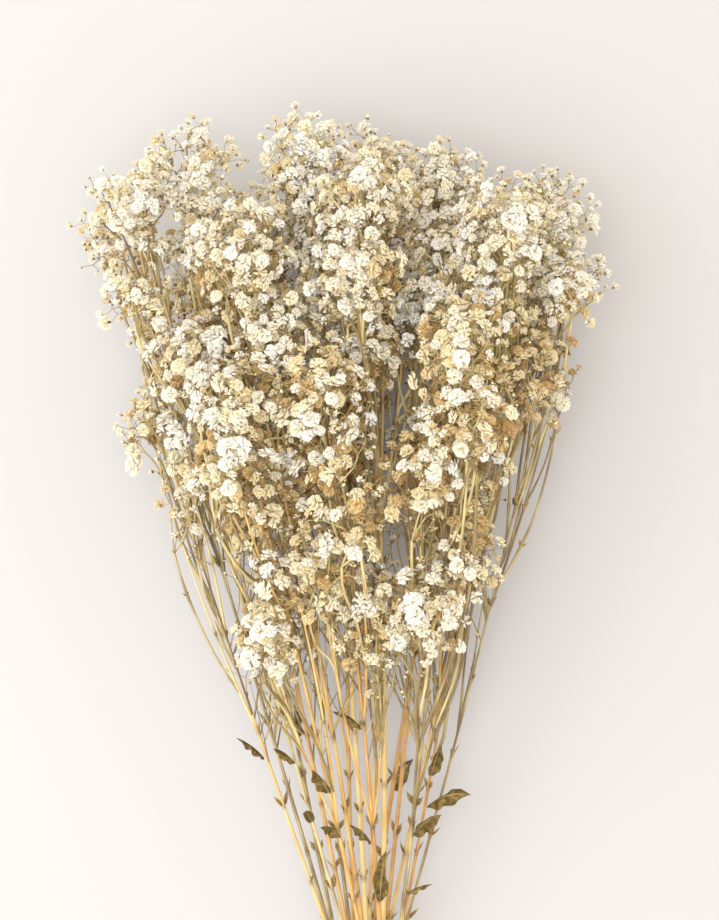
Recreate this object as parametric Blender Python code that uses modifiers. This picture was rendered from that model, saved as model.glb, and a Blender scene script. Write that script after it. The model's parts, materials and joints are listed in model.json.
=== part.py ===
"""A bunch of dried, double-flowered baby's breath, tied with twine and laid on a surface.

The stems run along +Y from their cut ends to the flowers, and cross in a spiral at the tie, so that
they fan out on both sides of it. Every stem has a slot in a hexagonal packing at the tie. Its flower
head is a string of clusters along the stem, and neighbouring heads share the space between them
along flat faces. All lengths are in metres, with +Z up and the resting surface at Z = 0.
"""

import math
from dataclasses import dataclass

import bmesh
import bpy
from mathutils import Matrix, Vector

# Bunch: the tie, the line of its middle and the way the stems spiral out from it
TIE = Vector((0.0180, -0.2377, 0.0241))
LEAN_X = -0.0422
RISE_Z = 0.150
STEM_PITCH = 0.0047
SPREAD_X = 34.5
SPREAD_Z = 16.3
CUT_END_Y = -0.2990
CUT_END_STAGGER = 0.0050

# Stems and their side branches
STEM_RADIUS = 0.0019
STEM_TAPER = 0.50
STEM_POINTS = 8
BRANCH_RADIUS = 0.00115
BRANCH_TAPER = 0.35
BRANCH_POINTS = 4
BRANCH_LENGTH = 0.070
BRANCH_LENGTH_STEP = 0.028
LOWEST_FORK = 0.055
BRANCH_SWEEP = 2.2
JOINT_SWELLING = 1.25
SEAT_DEPTH = 0.007
WALK_STEP = 0.001

# Flower clusters, drawn out along the stems
CLUSTER_STRETCH = 1.25
CLUSTER_DEPTH = 0.7
CLUSTER_JOIN = 0.60
CLUSTER_OUTWARD = 0.003
GOLDEN_ANGLE = math.pi * (3.0 - math.sqrt(5.0))
GOLDEN_FRACTION = (math.sqrt(5.0) - 1.0) / 2.0
CLEARANCE = 0.0003
HEAD_GAP = 0.0004

# Leaves
LEAF_THICKNESS = 0.0006
LEAF_STALK_WIDTH = 0.0014
LEAF_STEPS = 5
LEAF_SEAT = 0.95
LEAF_CUP = 0.35
LEAF_ROOT_SHARE = 0.06
LEAF_FULLNESS = 0.8

# Twine
TWINE_DIAMETER = 0.0020
TWINE_TURNS = 5
TWINE_GROOVE = 0.0006
TIE_SIDES = 16
SLANT_ALLOWANCE = 1.06
KNOT_SIZE = Vector((0.0042, 0.0034, 0.0026))

# Distances at which points count as one, and the angle that is still shaded smooth
TUBE_WELD = 0.000001
FINISH_WELD = 0.000005
SMOOTH_ANGLE = math.radians(40.0)


@dataclass(frozen=True)
class Spray:
    """One stem with its flowers: its slot at the tie and the line of its clusters.

    row is the layer, from -2 at the surface to 2 on top. place counts stem pitches across the layer,
    positive on the left. top is the middle of the highest cluster, and low_y the lowest one's Y.
    """

    row: int
    place: float
    top: tuple
    low_y: float
    clusters: int
    spread: float
    top_radius: float
    low_radius: float


SPRAYS = (
    Spray(2, 1.0, (-0.056, 0.128, 0.128), 0.004, 5, 0.014, 0.024, 0.019),
    Spray(2, 0.0, (-0.008, 0.132, 0.138), 0.012, 5, 0.015, 0.024, 0.020),
    Spray(2, -1.0, (0.066, 0.160, 0.144), 0.018, 5, 0.014, 0.025, 0.020),
    Spray(1, 1.5, (-0.112, 0.240, 0.108), 0.158, 3, 0.012, 0.025, 0.020),
    Spray(1, 0.5, (-0.054, 0.210, 0.126), 0.092, 4, 0.014, 0.025, 0.021),
    Spray(1, -0.5, (0.012, 0.244, 0.126), 0.160, 3, 0.015, 0.025, 0.021),
    Spray(1, -1.5, (0.092, 0.228, 0.124), 0.104, 4, 0.014, 0.025, 0.020),
    Spray(0, 2.0, (-0.102, 0.120, 0.080), 0.066, 3, 0.008, 0.019, 0.015),
    Spray(0, 1.0, (-0.080, 0.256, 0.088), 0.186, 3, 0.014, 0.025, 0.021),
    Spray(0, 0.0, (-0.018, 0.266, 0.092), 0.198, 3, 0.015, 0.026, 0.022),
    Spray(0, -1.0, (0.058, 0.250, 0.090), 0.180, 3, 0.015, 0.024, 0.021),
    Spray(0, -2.0, (0.127, 0.196, 0.084), 0.138, 3, 0.007, 0.020, 0.015),
    Spray(-1, 1.5, (-0.124, 0.222, 0.066), 0.160, 3, 0.010, 0.023, 0.019),
    Spray(-1, 0.5, (-0.044, 0.228, 0.058), 0.164, 3, 0.014, 0.024, 0.021),
    Spray(-1, -0.5, (0.026, 0.263, 0.060), 0.190, 3, 0.014, 0.024, 0.021),
    Spray(-1, -1.5, (0.119, 0.234, 0.066), 0.166, 3, 0.012, 0.024, 0.019),
    Spray(-2, 1.0, (-0.072, 0.186, 0.024), 0.066, 4, 0.012, 0.026, 0.020),
    Spray(-2, 0.0, (0.004, 0.206, 0.024), 0.066, 4, 0.013, 0.026, 0.020),
    Spray(-2, -1.0, (0.080, 0.190, 0.024), 0.066, 4, 0.012, 0.026, 0.020),
)


@dataclass(frozen=True)
class Leaf:
    """A dried leaf on a stem: which stem, where along it, and how the leaf stands and curls.

    around is the angle about the stem, in degrees, with 0 to the right and 90 up. rise is the angle
    between the leaf and the stem, and curl the angle that the blade bends through.
    """

    stem: int
    y: float
    around: float
    rise: float
    length: float
    width: float
    curl: float


LEAVES = (
    Leaf(4, -0.070, 120.0, 35.0, 0.022, 0.005, 60.0),
    Leaf(1, -0.086, 110.0, 30.0, 0.026, 0.006, 40.0),
    Leaf(1, -0.112, 115.0, 35.0, 0.024, 0.005, 70.0),
    Leaf(4, -0.104, 100.0, 35.0, 0.022, 0.004, 90.0),
    Leaf(7, -0.096, 30.0, 50.0, 0.030, 0.007, 60.0),
    Leaf(3, -0.112, 50.0, 35.0, 0.030, 0.008, 50.0),
    Leaf(7, -0.078, 80.0, 25.0, 0.026, 0.005, 30.0),
    Leaf(2, -0.050, 190.0, 35.0, 0.020, 0.005, 80.0),
    Leaf(2, -0.116, 160.0, 30.0, 0.018, 0.005, 50.0),
    Leaf(2, -0.150, 60.0, 16.0, 0.036, 0.006, 15.0),
    Leaf(3, -0.146, 30.0, 55.0, 0.018, 0.004, 40.0),
    Leaf(8, -0.068, 170.0, 25.0, 0.020, 0.005, 40.0),
    Leaf(17, -0.060, 280.0, 20.0, 0.024, 0.005, 50.0),
    Leaf(19, -0.090, 300.0, 30.0, 0.026, 0.006, 60.0),
)


def clear_scene():
    """Remove every object, so that the file can be run again."""
    for thing in list(bpy.data.objects):
        bpy.data.objects.remove(thing, do_unlink=True)


def new_collection(name):
    """A collection of the scene, by name."""
    group = bpy.data.collections.new(name)
    bpy.context.scene.collection.children.link(group)
    return group


def new_material(name, colour, roughness):
    """A plain material with one colour, for a part of the plant or for the twine."""
    finish = bpy.data.materials.new(name)
    finish.use_nodes = True
    shader = finish.node_tree.nodes["Principled BSDF"]
    shader.inputs["Base Color"].default_value = (*colour, 1.0)
    shader.inputs["Roughness"].default_value = roughness
    shader.inputs["Metallic"].default_value = 0.0
    return finish


def mesh_object(name, mesh, group):
    """An object for a mesh, linked to a collection."""
    thing = bpy.data.objects.new(name, mesh)
    group.objects.link(thing)
    return thing


def bmesh_object(name, shape, group):
    """An object made from a bmesh, which is freed."""
    mesh = bpy.data.meshes.new(name)
    shape.to_mesh(mesh)
    shape.free()
    return mesh_object(name, mesh, group)


def settle(thing):
    """Replace an object's mesh with what its modifiers give, and drop the modifiers."""
    bpy.context.view_layer.update()
    graph = bpy.context.evaluated_depsgraph_get()
    mesh = bpy.data.meshes.new_from_object(thing.evaluated_get(graph))
    thing.modifiers.clear()
    thing.data = mesh
    return thing


def combine(thing, others, operation):
    """Join an object with others, or cut them out of it, and remove them."""
    for other in others:
        cut = thing.modifiers.new("combine", "BOOLEAN")
        cut.operation = operation
        cut.solver = "EXACT"
        cut.object = other
    settle(thing)
    for other in others:
        bpy.data.objects.remove(other, do_unlink=True)
    return thing


def middle_of_bunch(distance):
    """The point in the middle of the bunch, at a distance along Y from the tie."""
    return TIE + Vector((LEAN_X * distance, distance, RISE_Z * distance))


def free_line(spray, distance):
    """Where a spray's stem would run if it only followed the spiral of the bunch."""
    slot_x = spray.row * STEM_PITCH * math.sqrt(3.0) / 2.0
    slot_z = spray.place * STEM_PITCH
    x = slot_x - SPREAD_X * distance * slot_z
    z = slot_z + SPREAD_Z * distance * slot_x
    return middle_of_bunch(distance) + Vector((x, 0.0, z))


def stem_point(spray, distance):
    """A point on a spray's stem: past the tie it bends slowly towards its top cluster."""
    point = free_line(spray, distance)
    if distance <= 0.0:
        return point
    reach = spray.top[1] - TIE.y
    drift = Vector(spray.top) - free_line(spray, reach)
    return point + drift * (distance / reach) ** 2


def flatten(point):
    """A point in the squeezed space where the drawn-out clusters are round."""
    return Vector((point.x, point.y / CLUSTER_STRETCH, point.z))


def clusters_of(index, spray):
    """The middle and radius of each cluster, from the top one down, set round the stem by turns."""
    found = []
    for step in range(spray.clusters):
        share = step / (spray.clusters - 1)
        y = spray.top[1] + (spray.low_y - spray.top[1]) * share
        turn = (index + step) * GOLDEN_ANGLE
        reach = spray.spread if step else 0.0
        offset = Vector((math.cos(turn), 0.0, CLUSTER_DEPTH * math.sin(turn))) * reach
        if step:
            offset.z += CLUSTER_OUTWARD * spray.row
        middle = stem_point(spray, y - TIE.y) + offset
        radius = spray.top_radius + (spray.low_radius - spray.top_radius) * share
        if found:
            step_length = (flatten(middle) - flatten(found[-1][0])).length
            radius = max(radius, CLUSTER_JOIN * step_length)
        found.append((middle, radius))
    return found


CLUSTERS = [clusters_of(index, spray) for index, spray in enumerate(SPRAYS)]


def fullness(index, point):
    """How deep a point lies in a spray's clusters: zero at their surface, positive inside."""
    flat = flatten(point)
    return max(r * r - (flat - flatten(middle)).length_squared for middle, r in CLUSTERS[index])


def in_own_head(index, point):
    """Whether a point lies in a spray's own share of the flowers."""
    own = fullness(index, point)
    if own <= 0.0:
        return False
    return all(own > fullness(other, point) for other in range(len(SPRAYS)) if other != index)


def stop_in_head(index, points):
    """Cut a path short where it is seated in its own flower head."""
    kept = [points[0]]
    for start, end in zip(points, points[1:]):
        span = (end - start).length
        steps = max(1, round(span / WALK_STEP))
        for step in range(1, steps + 1):
            point = start.lerp(end, step / steps)
            if in_own_head(index, point):
                kept.append(point + (end - start).normalized() * SEAT_DEPTH)
                return kept
        kept.append(end)
    return kept


def leader_path(index, spray):
    """Points and radii of a stem's leader, from its cut end into its flower head."""
    stagger = CUT_END_STAGGER * ((index * GOLDEN_FRACTION) % 1.0)
    start = CUT_END_Y + stagger - TIE.y
    reach = spray.top[1] - TIE.y
    places = [start + (reach - start) * step / (STEM_POINTS - 1) for step in range(STEM_POINTS)]
    points = stop_in_head(index, [stem_point(spray, place) for place in places])
    radii = [STEM_RADIUS * (1.0 - STEM_TAPER * max(0.0, (p.y - TIE.y) / reach)) for p in points]
    return points, radii


def branch_paths(index, spray):
    """Points and radii of the side branches that reach a spray's other clusters."""
    paths = []
    for step, (middle, radius) in enumerate(CLUSTERS[index]):
        if step == 0:
            continue
        end = middle.y - TIE.y
        fork = max(end - BRANCH_LENGTH - BRANCH_LENGTH_STEP * step, LOWEST_FORK)
        offset = middle - stem_point(spray, end)
        shares = [part / (BRANCH_POINTS - 1) for part in range(BRANCH_POINTS)]
        points = []
        for share in shares:
            out = 1.0 - (1.0 - share) ** BRANCH_SWEEP
            points.append(stem_point(spray, fork + (end - fork) * share) + offset * out)
        if in_own_head(index, points[0]):
            continue
        points = stop_in_head(index, points)
        radii = [BRANCH_RADIUS * (1.0 - BRANCH_TAPER * share) for share in shares[:len(points)]]
        radii[0] *= JOINT_SWELLING
        paths.append((points, radii))
    return paths


def make_tube(name, points, radii, resolution, group):
    """A round tube with closed ends along points, as a welded mesh."""
    curve = bpy.data.curves.new(name, "CURVE")
    curve.dimensions = "3D"
    curve.bevel_depth = STEM_RADIUS
    curve.bevel_resolution = resolution
    curve.use_fill_caps = True
    spline = curve.splines.new("POLY")
    spline.points.add(len(points) - 1)
    for knot, point, radius in zip(spline.points, points, radii):
        knot.co = (*point, 1.0)
        knot.radius = radius / STEM_RADIUS
    guide = bpy.data.objects.new(name, curve)
    group.objects.link(guide)
    bpy.context.view_layer.update()
    graph = bpy.context.evaluated_depsgraph_get()
    mesh = bpy.data.meshes.new_from_object(guide.evaluated_get(graph))
    place = guide.matrix_world.copy()
    bpy.data.objects.remove(guide, do_unlink=True)
    tube = mesh_object(name, mesh, group)
    tube.matrix_world = place
    shape = bmesh.new()
    shape.from_mesh(mesh)
    bmesh.ops.remove_doubles(shape, verts=shape.verts, dist=TUBE_WELD)
    bmesh.ops.recalc_face_normals(shape, faces=shape.faces)
    shape.to_mesh(mesh)
    shape.free()
    return tube


def make_stem(name, index, spray, swell, group):
    """A stem with its side branches in one piece, swollen by a little where it is a cutter."""
    tubes = []
    for points, radii in [leader_path(index, spray)] + branch_paths(index, spray):
        points[-1] += (points[-1] - points[-2]).normalized() * swell
        tubes.append(make_tube(name, points, [radius + swell for radius in radii], 1, group))
    tubes[0].name = name
    return combine(tubes[0], tubes[1:], "UNION")


def cut_by_plane(shape, point, normal):
    """Cut a convex shape by a plane, keep the side that the normal points away from, and close it."""
    everything = list(shape.verts) + list(shape.edges) + list(shape.faces)
    bmesh.ops.bisect_plane(shape, geom=everything, plane_co=point, plane_no=normal, clear_outer=True)
    rim = [edge for edge in shape.edges if edge.is_boundary]
    if rim:
        bmesh.ops.holes_fill(shape, edges=rim, sides=0)


def make_cluster(index, step, group):
    """One cluster of a head: a round lump, flat where a neighbouring head's cluster meets it."""
    middle, radius = CLUSTERS[index][step]
    centre = flatten(middle)
    turn = Matrix.Rotation((index * 7 + step) * GOLDEN_ANGLE, 4, "Z")
    tilt = Matrix.Rotation((index * 3 + step) * GOLDEN_FRACTION, 4, "X")
    place = Matrix.Translation(centre) @ tilt @ turn
    shape = bmesh.new()
    bmesh.ops.create_icosphere(shape, subdivisions=2, radius=radius, matrix=place)
    for other, clusters in enumerate(CLUSTERS):
        if other == index:
            continue
        for other_middle, other_radius in clusters:
            toward = flatten(other_middle) - centre
            apart = toward.length
            if apart >= radius + other_radius + HEAD_GAP:
                continue
            toward.normalize()
            share = (apart ** 2 + radius ** 2 - other_radius ** 2) / (2.0 * apart)
            cut_by_plane(shape, centre + toward * (share - HEAD_GAP / 2.0), toward)
    bmesh.ops.scale(shape, vec=(1.0, CLUSTER_STRETCH, 1.0), verts=shape.verts)
    bmesh.ops.recalc_face_normals(shape, faces=shape.faces)
    return bmesh_object("cluster", shape, group)


def make_floor_block(group):
    """A block below the resting surface, which cuts the lowest clusters flat."""
    shape = bmesh.new()
    bmesh.ops.create_cube(shape, size=1.0, matrix=Matrix.Translation((0.0, 0.0, -0.5)))
    return bmesh_object("floor_block", shape, group)


def make_flower_head(name, index, group, cutters):
    """A spray's clusters as one solid, with a blind hole for each stem or twig that enters it."""
    clusters = [make_cluster(index, step, cutters) for step in range(len(CLUSTERS[index]))]
    head = combine(clusters[0], clusters[1:], "UNION")
    cutters.objects.unlink(head)
    group.objects.link(head)
    head.name = name
    head.data.name = name
    if min(middle.z - radius for middle, radius in CLUSTERS[index]) < 0.0:
        combine(head, [make_floor_block(cutters)], "DIFFERENCE")
    for other, spray in enumerate(SPRAYS):
        if meets_head(index, other, spray):
            combine(head, [make_stem("bore", other, spray, CLEARANCE, cutters)], "DIFFERENCE")
    return head


def meets_head(index, other, spray):
    """Whether any part of a spray's stem comes near a flower head."""
    for points, radii in [leader_path(other, spray)] + branch_paths(other, spray):
        margin = max(radii) + 2.0 * CLEARANCE
        for start, end in zip(points, points[1:]):
            steps = max(1, round((end - start).length / WALK_STEP))
            for step in range(steps + 1):
                flat = flatten(start.lerp(end, step / steps))
                if any((flat - flatten(middle)).length < r + margin for middle, r in CLUSTERS[index]):
                    return True
    return False


def leaf_profile(share):
    """Half the width of a leaf as a share of its widest, along its length."""
    place = LEAF_ROOT_SHARE + (1.0 - LEAF_ROOT_SHARE) * share
    return math.sin(math.pi * min(1.0, place) ** LEAF_FULLNESS)


def make_leaf(name, leaf, group):
    """A thin blade, narrow at its stalk and tip, bent along its length and cupped across."""
    shape = bmesh.new()
    bmesh.ops.create_grid(shape, x_segments=2, y_segments=LEAF_STEPS, size=1.0)
    bend = math.radians(leaf.curl)
    for vert in shape.verts:
        share = (vert.co.y + 1.0) / 2.0
        half = max(LEAF_STALK_WIDTH / 2.0, leaf.width / 2.0 * leaf_profile(share))
        across = vert.co.x * half
        angle = bend * share
        along = leaf.length * (math.sin(angle) / bend)
        lift = leaf.length * ((1.0 - math.cos(angle)) / bend)
        cup = abs(across) * LEAF_CUP
        vert.co = Vector((across, along - cup * math.sin(angle), lift + cup * math.cos(angle)))
    blade = bmesh_object(name, shape, group)
    skin = blade.modifiers.new("thickness", "SOLIDIFY")
    skin.thickness = LEAF_THICKNESS
    skin.offset = 0.0
    settle(blade)
    spray = SPRAYS[leaf.stem - 1]
    place = leaf.y - TIE.y
    root = stem_point(spray, place)
    along_stem = (stem_point(spray, place + WALK_STEP) - root).normalized()
    around = math.radians(leaf.around)
    outward = Vector((math.cos(around), 0.0, math.sin(around)))
    outward = (outward - along_stem * outward.dot(along_stem)).normalized()
    rise = math.radians(leaf.rise)
    length_axis = along_stem * math.cos(rise) + outward * math.sin(rise)
    face_axis = outward * math.cos(rise) - along_stem * math.sin(rise)
    side_axis = length_axis.cross(face_axis)
    reach = spray.top[1] - TIE.y
    stem_radius = STEM_RADIUS * (1.0 - STEM_TAPER * place / reach)
    seat = root + outward * (LEAF_SEAT * stem_radius + CLEARANCE + LEAF_THICKNESS / 2.0)
    turn = Matrix((side_axis, length_axis, face_axis)).transposed().to_4x4()
    blade.matrix_world = Matrix.Translation(seat) @ turn
    return blade


def tie_inner_radius(distance):
    """The radius that just clears the stems, at a distance along the bunch from the tie's middle."""
    total = abs(distance) * (SPREAD_X + SPREAD_Z)
    unlike = abs(distance) * (SPREAD_X - SPREAD_Z)
    growth = (math.sqrt(4.0 + total ** 2) + unlike) / 2.0
    clear = 2.0 * STEM_PITCH * growth + STEM_RADIUS * SLANT_ALLOWANCE + CLEARANCE
    return clear / math.cos(math.pi / TIE_SIDES)


def make_tie(name, group, cutters):
    """The wound twine as one ring whose outside is ridged by the turns, with its knot on top."""
    half = TWINE_DIAMETER * TWINE_TURNS / 2.0
    outer = []
    for step in range(2 * TWINE_TURNS + 1):
        place = half - TWINE_DIAMETER * step / 2.0
        height = TWINE_DIAMETER if step % 2 else TWINE_DIAMETER - TWINE_GROOVE
        outer.append((tie_inner_radius(place) + height, place))
    inner = [(tie_inner_radius(place), place) for place in (-half, -half / 2.0, 0.0, half / 2.0, half)]
    shape = bmesh.new()
    profile = [shape.verts.new((radius, 0.0, place)) for radius, place in outer + inner]
    for first, second in zip(profile, profile[1:] + profile[:1]):
        shape.edges.new((first, second))
    ring = bmesh_object(name, shape, group)
    screw = ring.modifiers.new("wind", "SCREW")
    screw.steps = TIE_SIDES
    screw.render_steps = TIE_SIDES
    screw.use_merge_vertices = True
    screw.merge_threshold = 0.00001
    settle(ring)
    knot_shape = bmesh.new()
    bmesh.ops.create_icosphere(knot_shape, subdivisions=2, radius=1.0)
    bmesh.ops.scale(knot_shape, vec=KNOT_SIZE, verts=knot_shape.verts)
    knot_height = tie_inner_radius(0.0) + TWINE_DIAMETER + KNOT_SIZE.z / 4.0
    bmesh.ops.translate(knot_shape, vec=(0.0, knot_height, 0.0), verts=knot_shape.verts)
    combine(ring, [bmesh_object("knot", knot_shape, cutters)], "UNION")
    direction = Vector((LEAN_X, 1.0, RISE_Z))
    ring.matrix_world = Matrix.Translation(TIE) @ direction.to_track_quat("Z", "Y").to_matrix().to_4x4()
    return ring


def finish_mesh(thing, finish):
    """Weld, triangulate and shade an object, and give it its material."""
    shape = bmesh.new()
    shape.from_mesh(thing.data)
    bmesh.ops.remove_doubles(shape, verts=shape.verts, dist=FINISH_WELD)
    bmesh.ops.triangulate(shape, faces=shape.faces)
    shape.to_mesh(thing.data)
    shape.free()
    thing.data.shade_smooth()
    thing.data.set_sharp_from_angle(angle=SMOOTH_ANGLE)
    thing.data.materials.clear()
    thing.data.materials.append(finish)


def main():
    """Build the bunch."""
    clear_scene()
    bunch = new_collection("dried_babys_breath")
    cutters = new_collection("cutters")
    straw = new_material("dry_stem", (0.58, 0.40, 0.17), 0.6)
    petals = new_material("dry_florets", (0.87, 0.80, 0.62), 0.8)
    withered = new_material("dry_leaf", (0.22, 0.16, 0.07), 0.75)
    jute = new_material("twine", (0.50, 0.36, 0.20), 0.9)
    for index, spray in enumerate(SPRAYS):
        number = f"{index + 1:02d}"
        finish_mesh(make_stem(f"stem_{number}", index, spray, 0.0, bunch), straw)
        finish_mesh(make_flower_head(f"flower_head_{number}", index, bunch, cutters), petals)
    for index, leaf in enumerate(LEAVES):
        finish_mesh(make_leaf(f"leaf_{index + 1:02d}", leaf, bunch), withered)
    finish_mesh(make_tie("twine_tie", bunch, cutters), jute)


main()
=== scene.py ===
"""The finish of a tied bunch of dried, double-flowered baby's breath that lies on a pale surface.

Every stem carries side branches, every branch a tree of thin twigs, and every twig ends in a floret or
a bud. The stems follow the same spiral and reach the same clusters as the solids of the frame, and each
piece here stands for one of them. All lengths are in metres, with +Z up, the stems along +Y and the
resting surface at Z = 0.
"""

import json
import logging
import math
from dataclasses import dataclass, field
from enum import Enum, IntEnum
from itertools import accumulate

import bmesh
import bpy
import numpy as np
from mathutils import Euler, Matrix, Quaternion, Vector

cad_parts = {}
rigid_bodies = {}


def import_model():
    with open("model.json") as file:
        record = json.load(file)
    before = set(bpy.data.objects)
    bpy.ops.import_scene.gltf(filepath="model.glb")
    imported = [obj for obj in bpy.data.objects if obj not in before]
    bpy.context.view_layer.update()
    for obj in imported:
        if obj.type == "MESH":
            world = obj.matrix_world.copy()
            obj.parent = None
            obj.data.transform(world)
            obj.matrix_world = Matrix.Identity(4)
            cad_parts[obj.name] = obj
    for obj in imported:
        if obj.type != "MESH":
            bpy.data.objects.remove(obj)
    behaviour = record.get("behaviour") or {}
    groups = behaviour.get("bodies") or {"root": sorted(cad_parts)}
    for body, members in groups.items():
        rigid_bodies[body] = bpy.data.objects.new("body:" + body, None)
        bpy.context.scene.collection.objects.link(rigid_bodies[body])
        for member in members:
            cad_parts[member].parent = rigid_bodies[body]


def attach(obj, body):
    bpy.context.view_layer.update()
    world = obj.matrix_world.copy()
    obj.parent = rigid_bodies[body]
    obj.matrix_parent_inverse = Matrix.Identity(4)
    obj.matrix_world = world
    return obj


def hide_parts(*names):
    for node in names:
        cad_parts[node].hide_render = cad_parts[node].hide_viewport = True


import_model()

LOG = logging.getLogger("dried_bunch")
BODY = "root"
GOLDEN_ANGLE = math.pi * (3.0 - math.sqrt(5.0))
GOLDEN_FRACTION = (math.sqrt(5.0) - 1.0) / 2.0
MM = 0.001
STEM_RADIUS = 1.9 * MM
Socket = bpy.types.NodeSocket
Array = np.ndarray
Span = tuple[float, float]
Triple = tuple[float, float, float]


def linear(code: str) -> tuple[float, float, float, float]:
    """Turn a colour as printed on a chart into the linear values that a shader takes.

    Args:
        code: the colour as six hexadecimal digits.

    Returns:
        Red, green, blue and an alpha of one.
    """
    shares = [int(code[at:at + 2], 16) / 255.0 for at in (0, 2, 4)]
    red, green, blue = (s / 12.92 if s <= 0.04045 else ((s + 0.055) / 1.055) ** 2.4 for s in shares)
    return red, green, blue, 1.0


def note(mesh: bpy.types.Mesh, name: str, kind: str, values: list[float]) -> None:
    """Store a value, or three for a vector, at each point of a mesh."""
    label = "vector" if kind == "FLOAT_VECTOR" else "value"
    mesh.attributes.new(name, kind, "POINT").data.foreach_set(label, values)


def shown(name: str, data: bpy.types.ID) -> bpy.types.Object:
    """Add an object to the scene.

    Args:
        name: its name.
        data: its mesh, lamp or lens.

    Returns:
        The object.
    """
    thing = bpy.data.objects.new(name, data)
    bpy.context.scene.collection.objects.link(thing)
    return thing


def settled(guide: bpy.types.Object) -> bpy.types.Mesh:
    """Turn an object and its modifier into a plain mesh, and remove the object.

    Args:
        guide: the object, which is used up.

    Returns:
        The mesh.
    """
    bpy.context.view_layer.update()
    graph = bpy.context.evaluated_depsgraph_get()
    mesh = bpy.data.meshes.new_from_object(guide.evaluated_get(graph))
    bpy.data.objects.remove(guide, do_unlink=True)
    return mesh


class Luck(np.random.Generator):
    """A source of chance that gives the same draws each run."""

    def __init__(self, seed: int) -> None:
        """Start from a seed."""
        super().__init__(np.random.PCG64(seed))

    def turn(self) -> float:
        """An angle anywhere round the circle."""
        return self.uniform(0.0, math.tau)

    def sway(self) -> Vector:
        """A vector that points anywhere, and is as long as chance has it."""
        return Vector(self.normal(size=3))

    def pick(self, low: int, high: int) -> int:
        """A whole number from one on to below another."""
        return int(self.integers(low, high))


@dataclass(frozen=True)
class Spray:
    """One flowering stem: its slot at the tie and the line of its clusters.

    row is the layer, from -2 at the surface to 2 on top. place counts stem pitches across the layer,
    positive on the left. top is the middle of the highest cluster, and low_y the lowest one's Y.
    """

    row: int
    place: float
    top: Triple
    low_y: float
    clusters: int
    spread: float
    top_radius: float
    low_radius: float


SPRAYS = (
    Spray(2, 1.0, (-0.056, 0.128, 0.128), 0.004, 5, 0.014, 0.024, 0.019),
    Spray(2, 0.0, (-0.008, 0.132, 0.138), 0.012, 5, 0.015, 0.024, 0.020),
    Spray(2, -1.0, (0.066, 0.160, 0.144), 0.018, 5, 0.014, 0.025, 0.020),
    Spray(1, 1.5, (-0.112, 0.240, 0.108), 0.158, 3, 0.012, 0.025, 0.020),
    Spray(1, 0.5, (-0.054, 0.210, 0.126), 0.092, 4, 0.014, 0.025, 0.021),
    Spray(1, -0.5, (0.012, 0.244, 0.126), 0.160, 3, 0.015, 0.025, 0.021),
    Spray(1, -1.5, (0.092, 0.228, 0.124), 0.104, 4, 0.014, 0.025, 0.020),
    Spray(0, 2.0, (-0.102, 0.120, 0.080), 0.066, 3, 0.008, 0.019, 0.015),
    Spray(0, 1.0, (-0.080, 0.256, 0.088), 0.186, 3, 0.014, 0.025, 0.021),
    Spray(0, 0.0, (-0.018, 0.266, 0.092), 0.198, 3, 0.015, 0.026, 0.022),
    Spray(0, -1.0, (0.058, 0.250, 0.090), 0.180, 3, 0.015, 0.024, 0.021),
    Spray(0, -2.0, (0.127, 0.196, 0.084), 0.138, 3, 0.007, 0.020, 0.015),
    Spray(-1, 1.5, (-0.124, 0.222, 0.066), 0.160, 3, 0.010, 0.023, 0.019),
    Spray(-1, 0.5, (-0.044, 0.228, 0.058), 0.164, 3, 0.014, 0.024, 0.021),
    Spray(-1, -0.5, (0.026, 0.263, 0.060), 0.190, 3, 0.014, 0.024, 0.021),
    Spray(-1, -1.5, (0.119, 0.234, 0.066), 0.166, 3, 0.012, 0.024, 0.019),
    Spray(-2, 1.0, (-0.072, 0.186, 0.024), 0.066, 4, 0.012, 0.026, 0.020),
    Spray(-2, 0.0, (0.004, 0.206, 0.024), 0.066, 4, 0.013, 0.026, 0.020),
    Spray(-2, -1.0, (0.080, 0.190, 0.024), 0.066, 4, 0.012, 0.026, 0.020),
)


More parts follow.
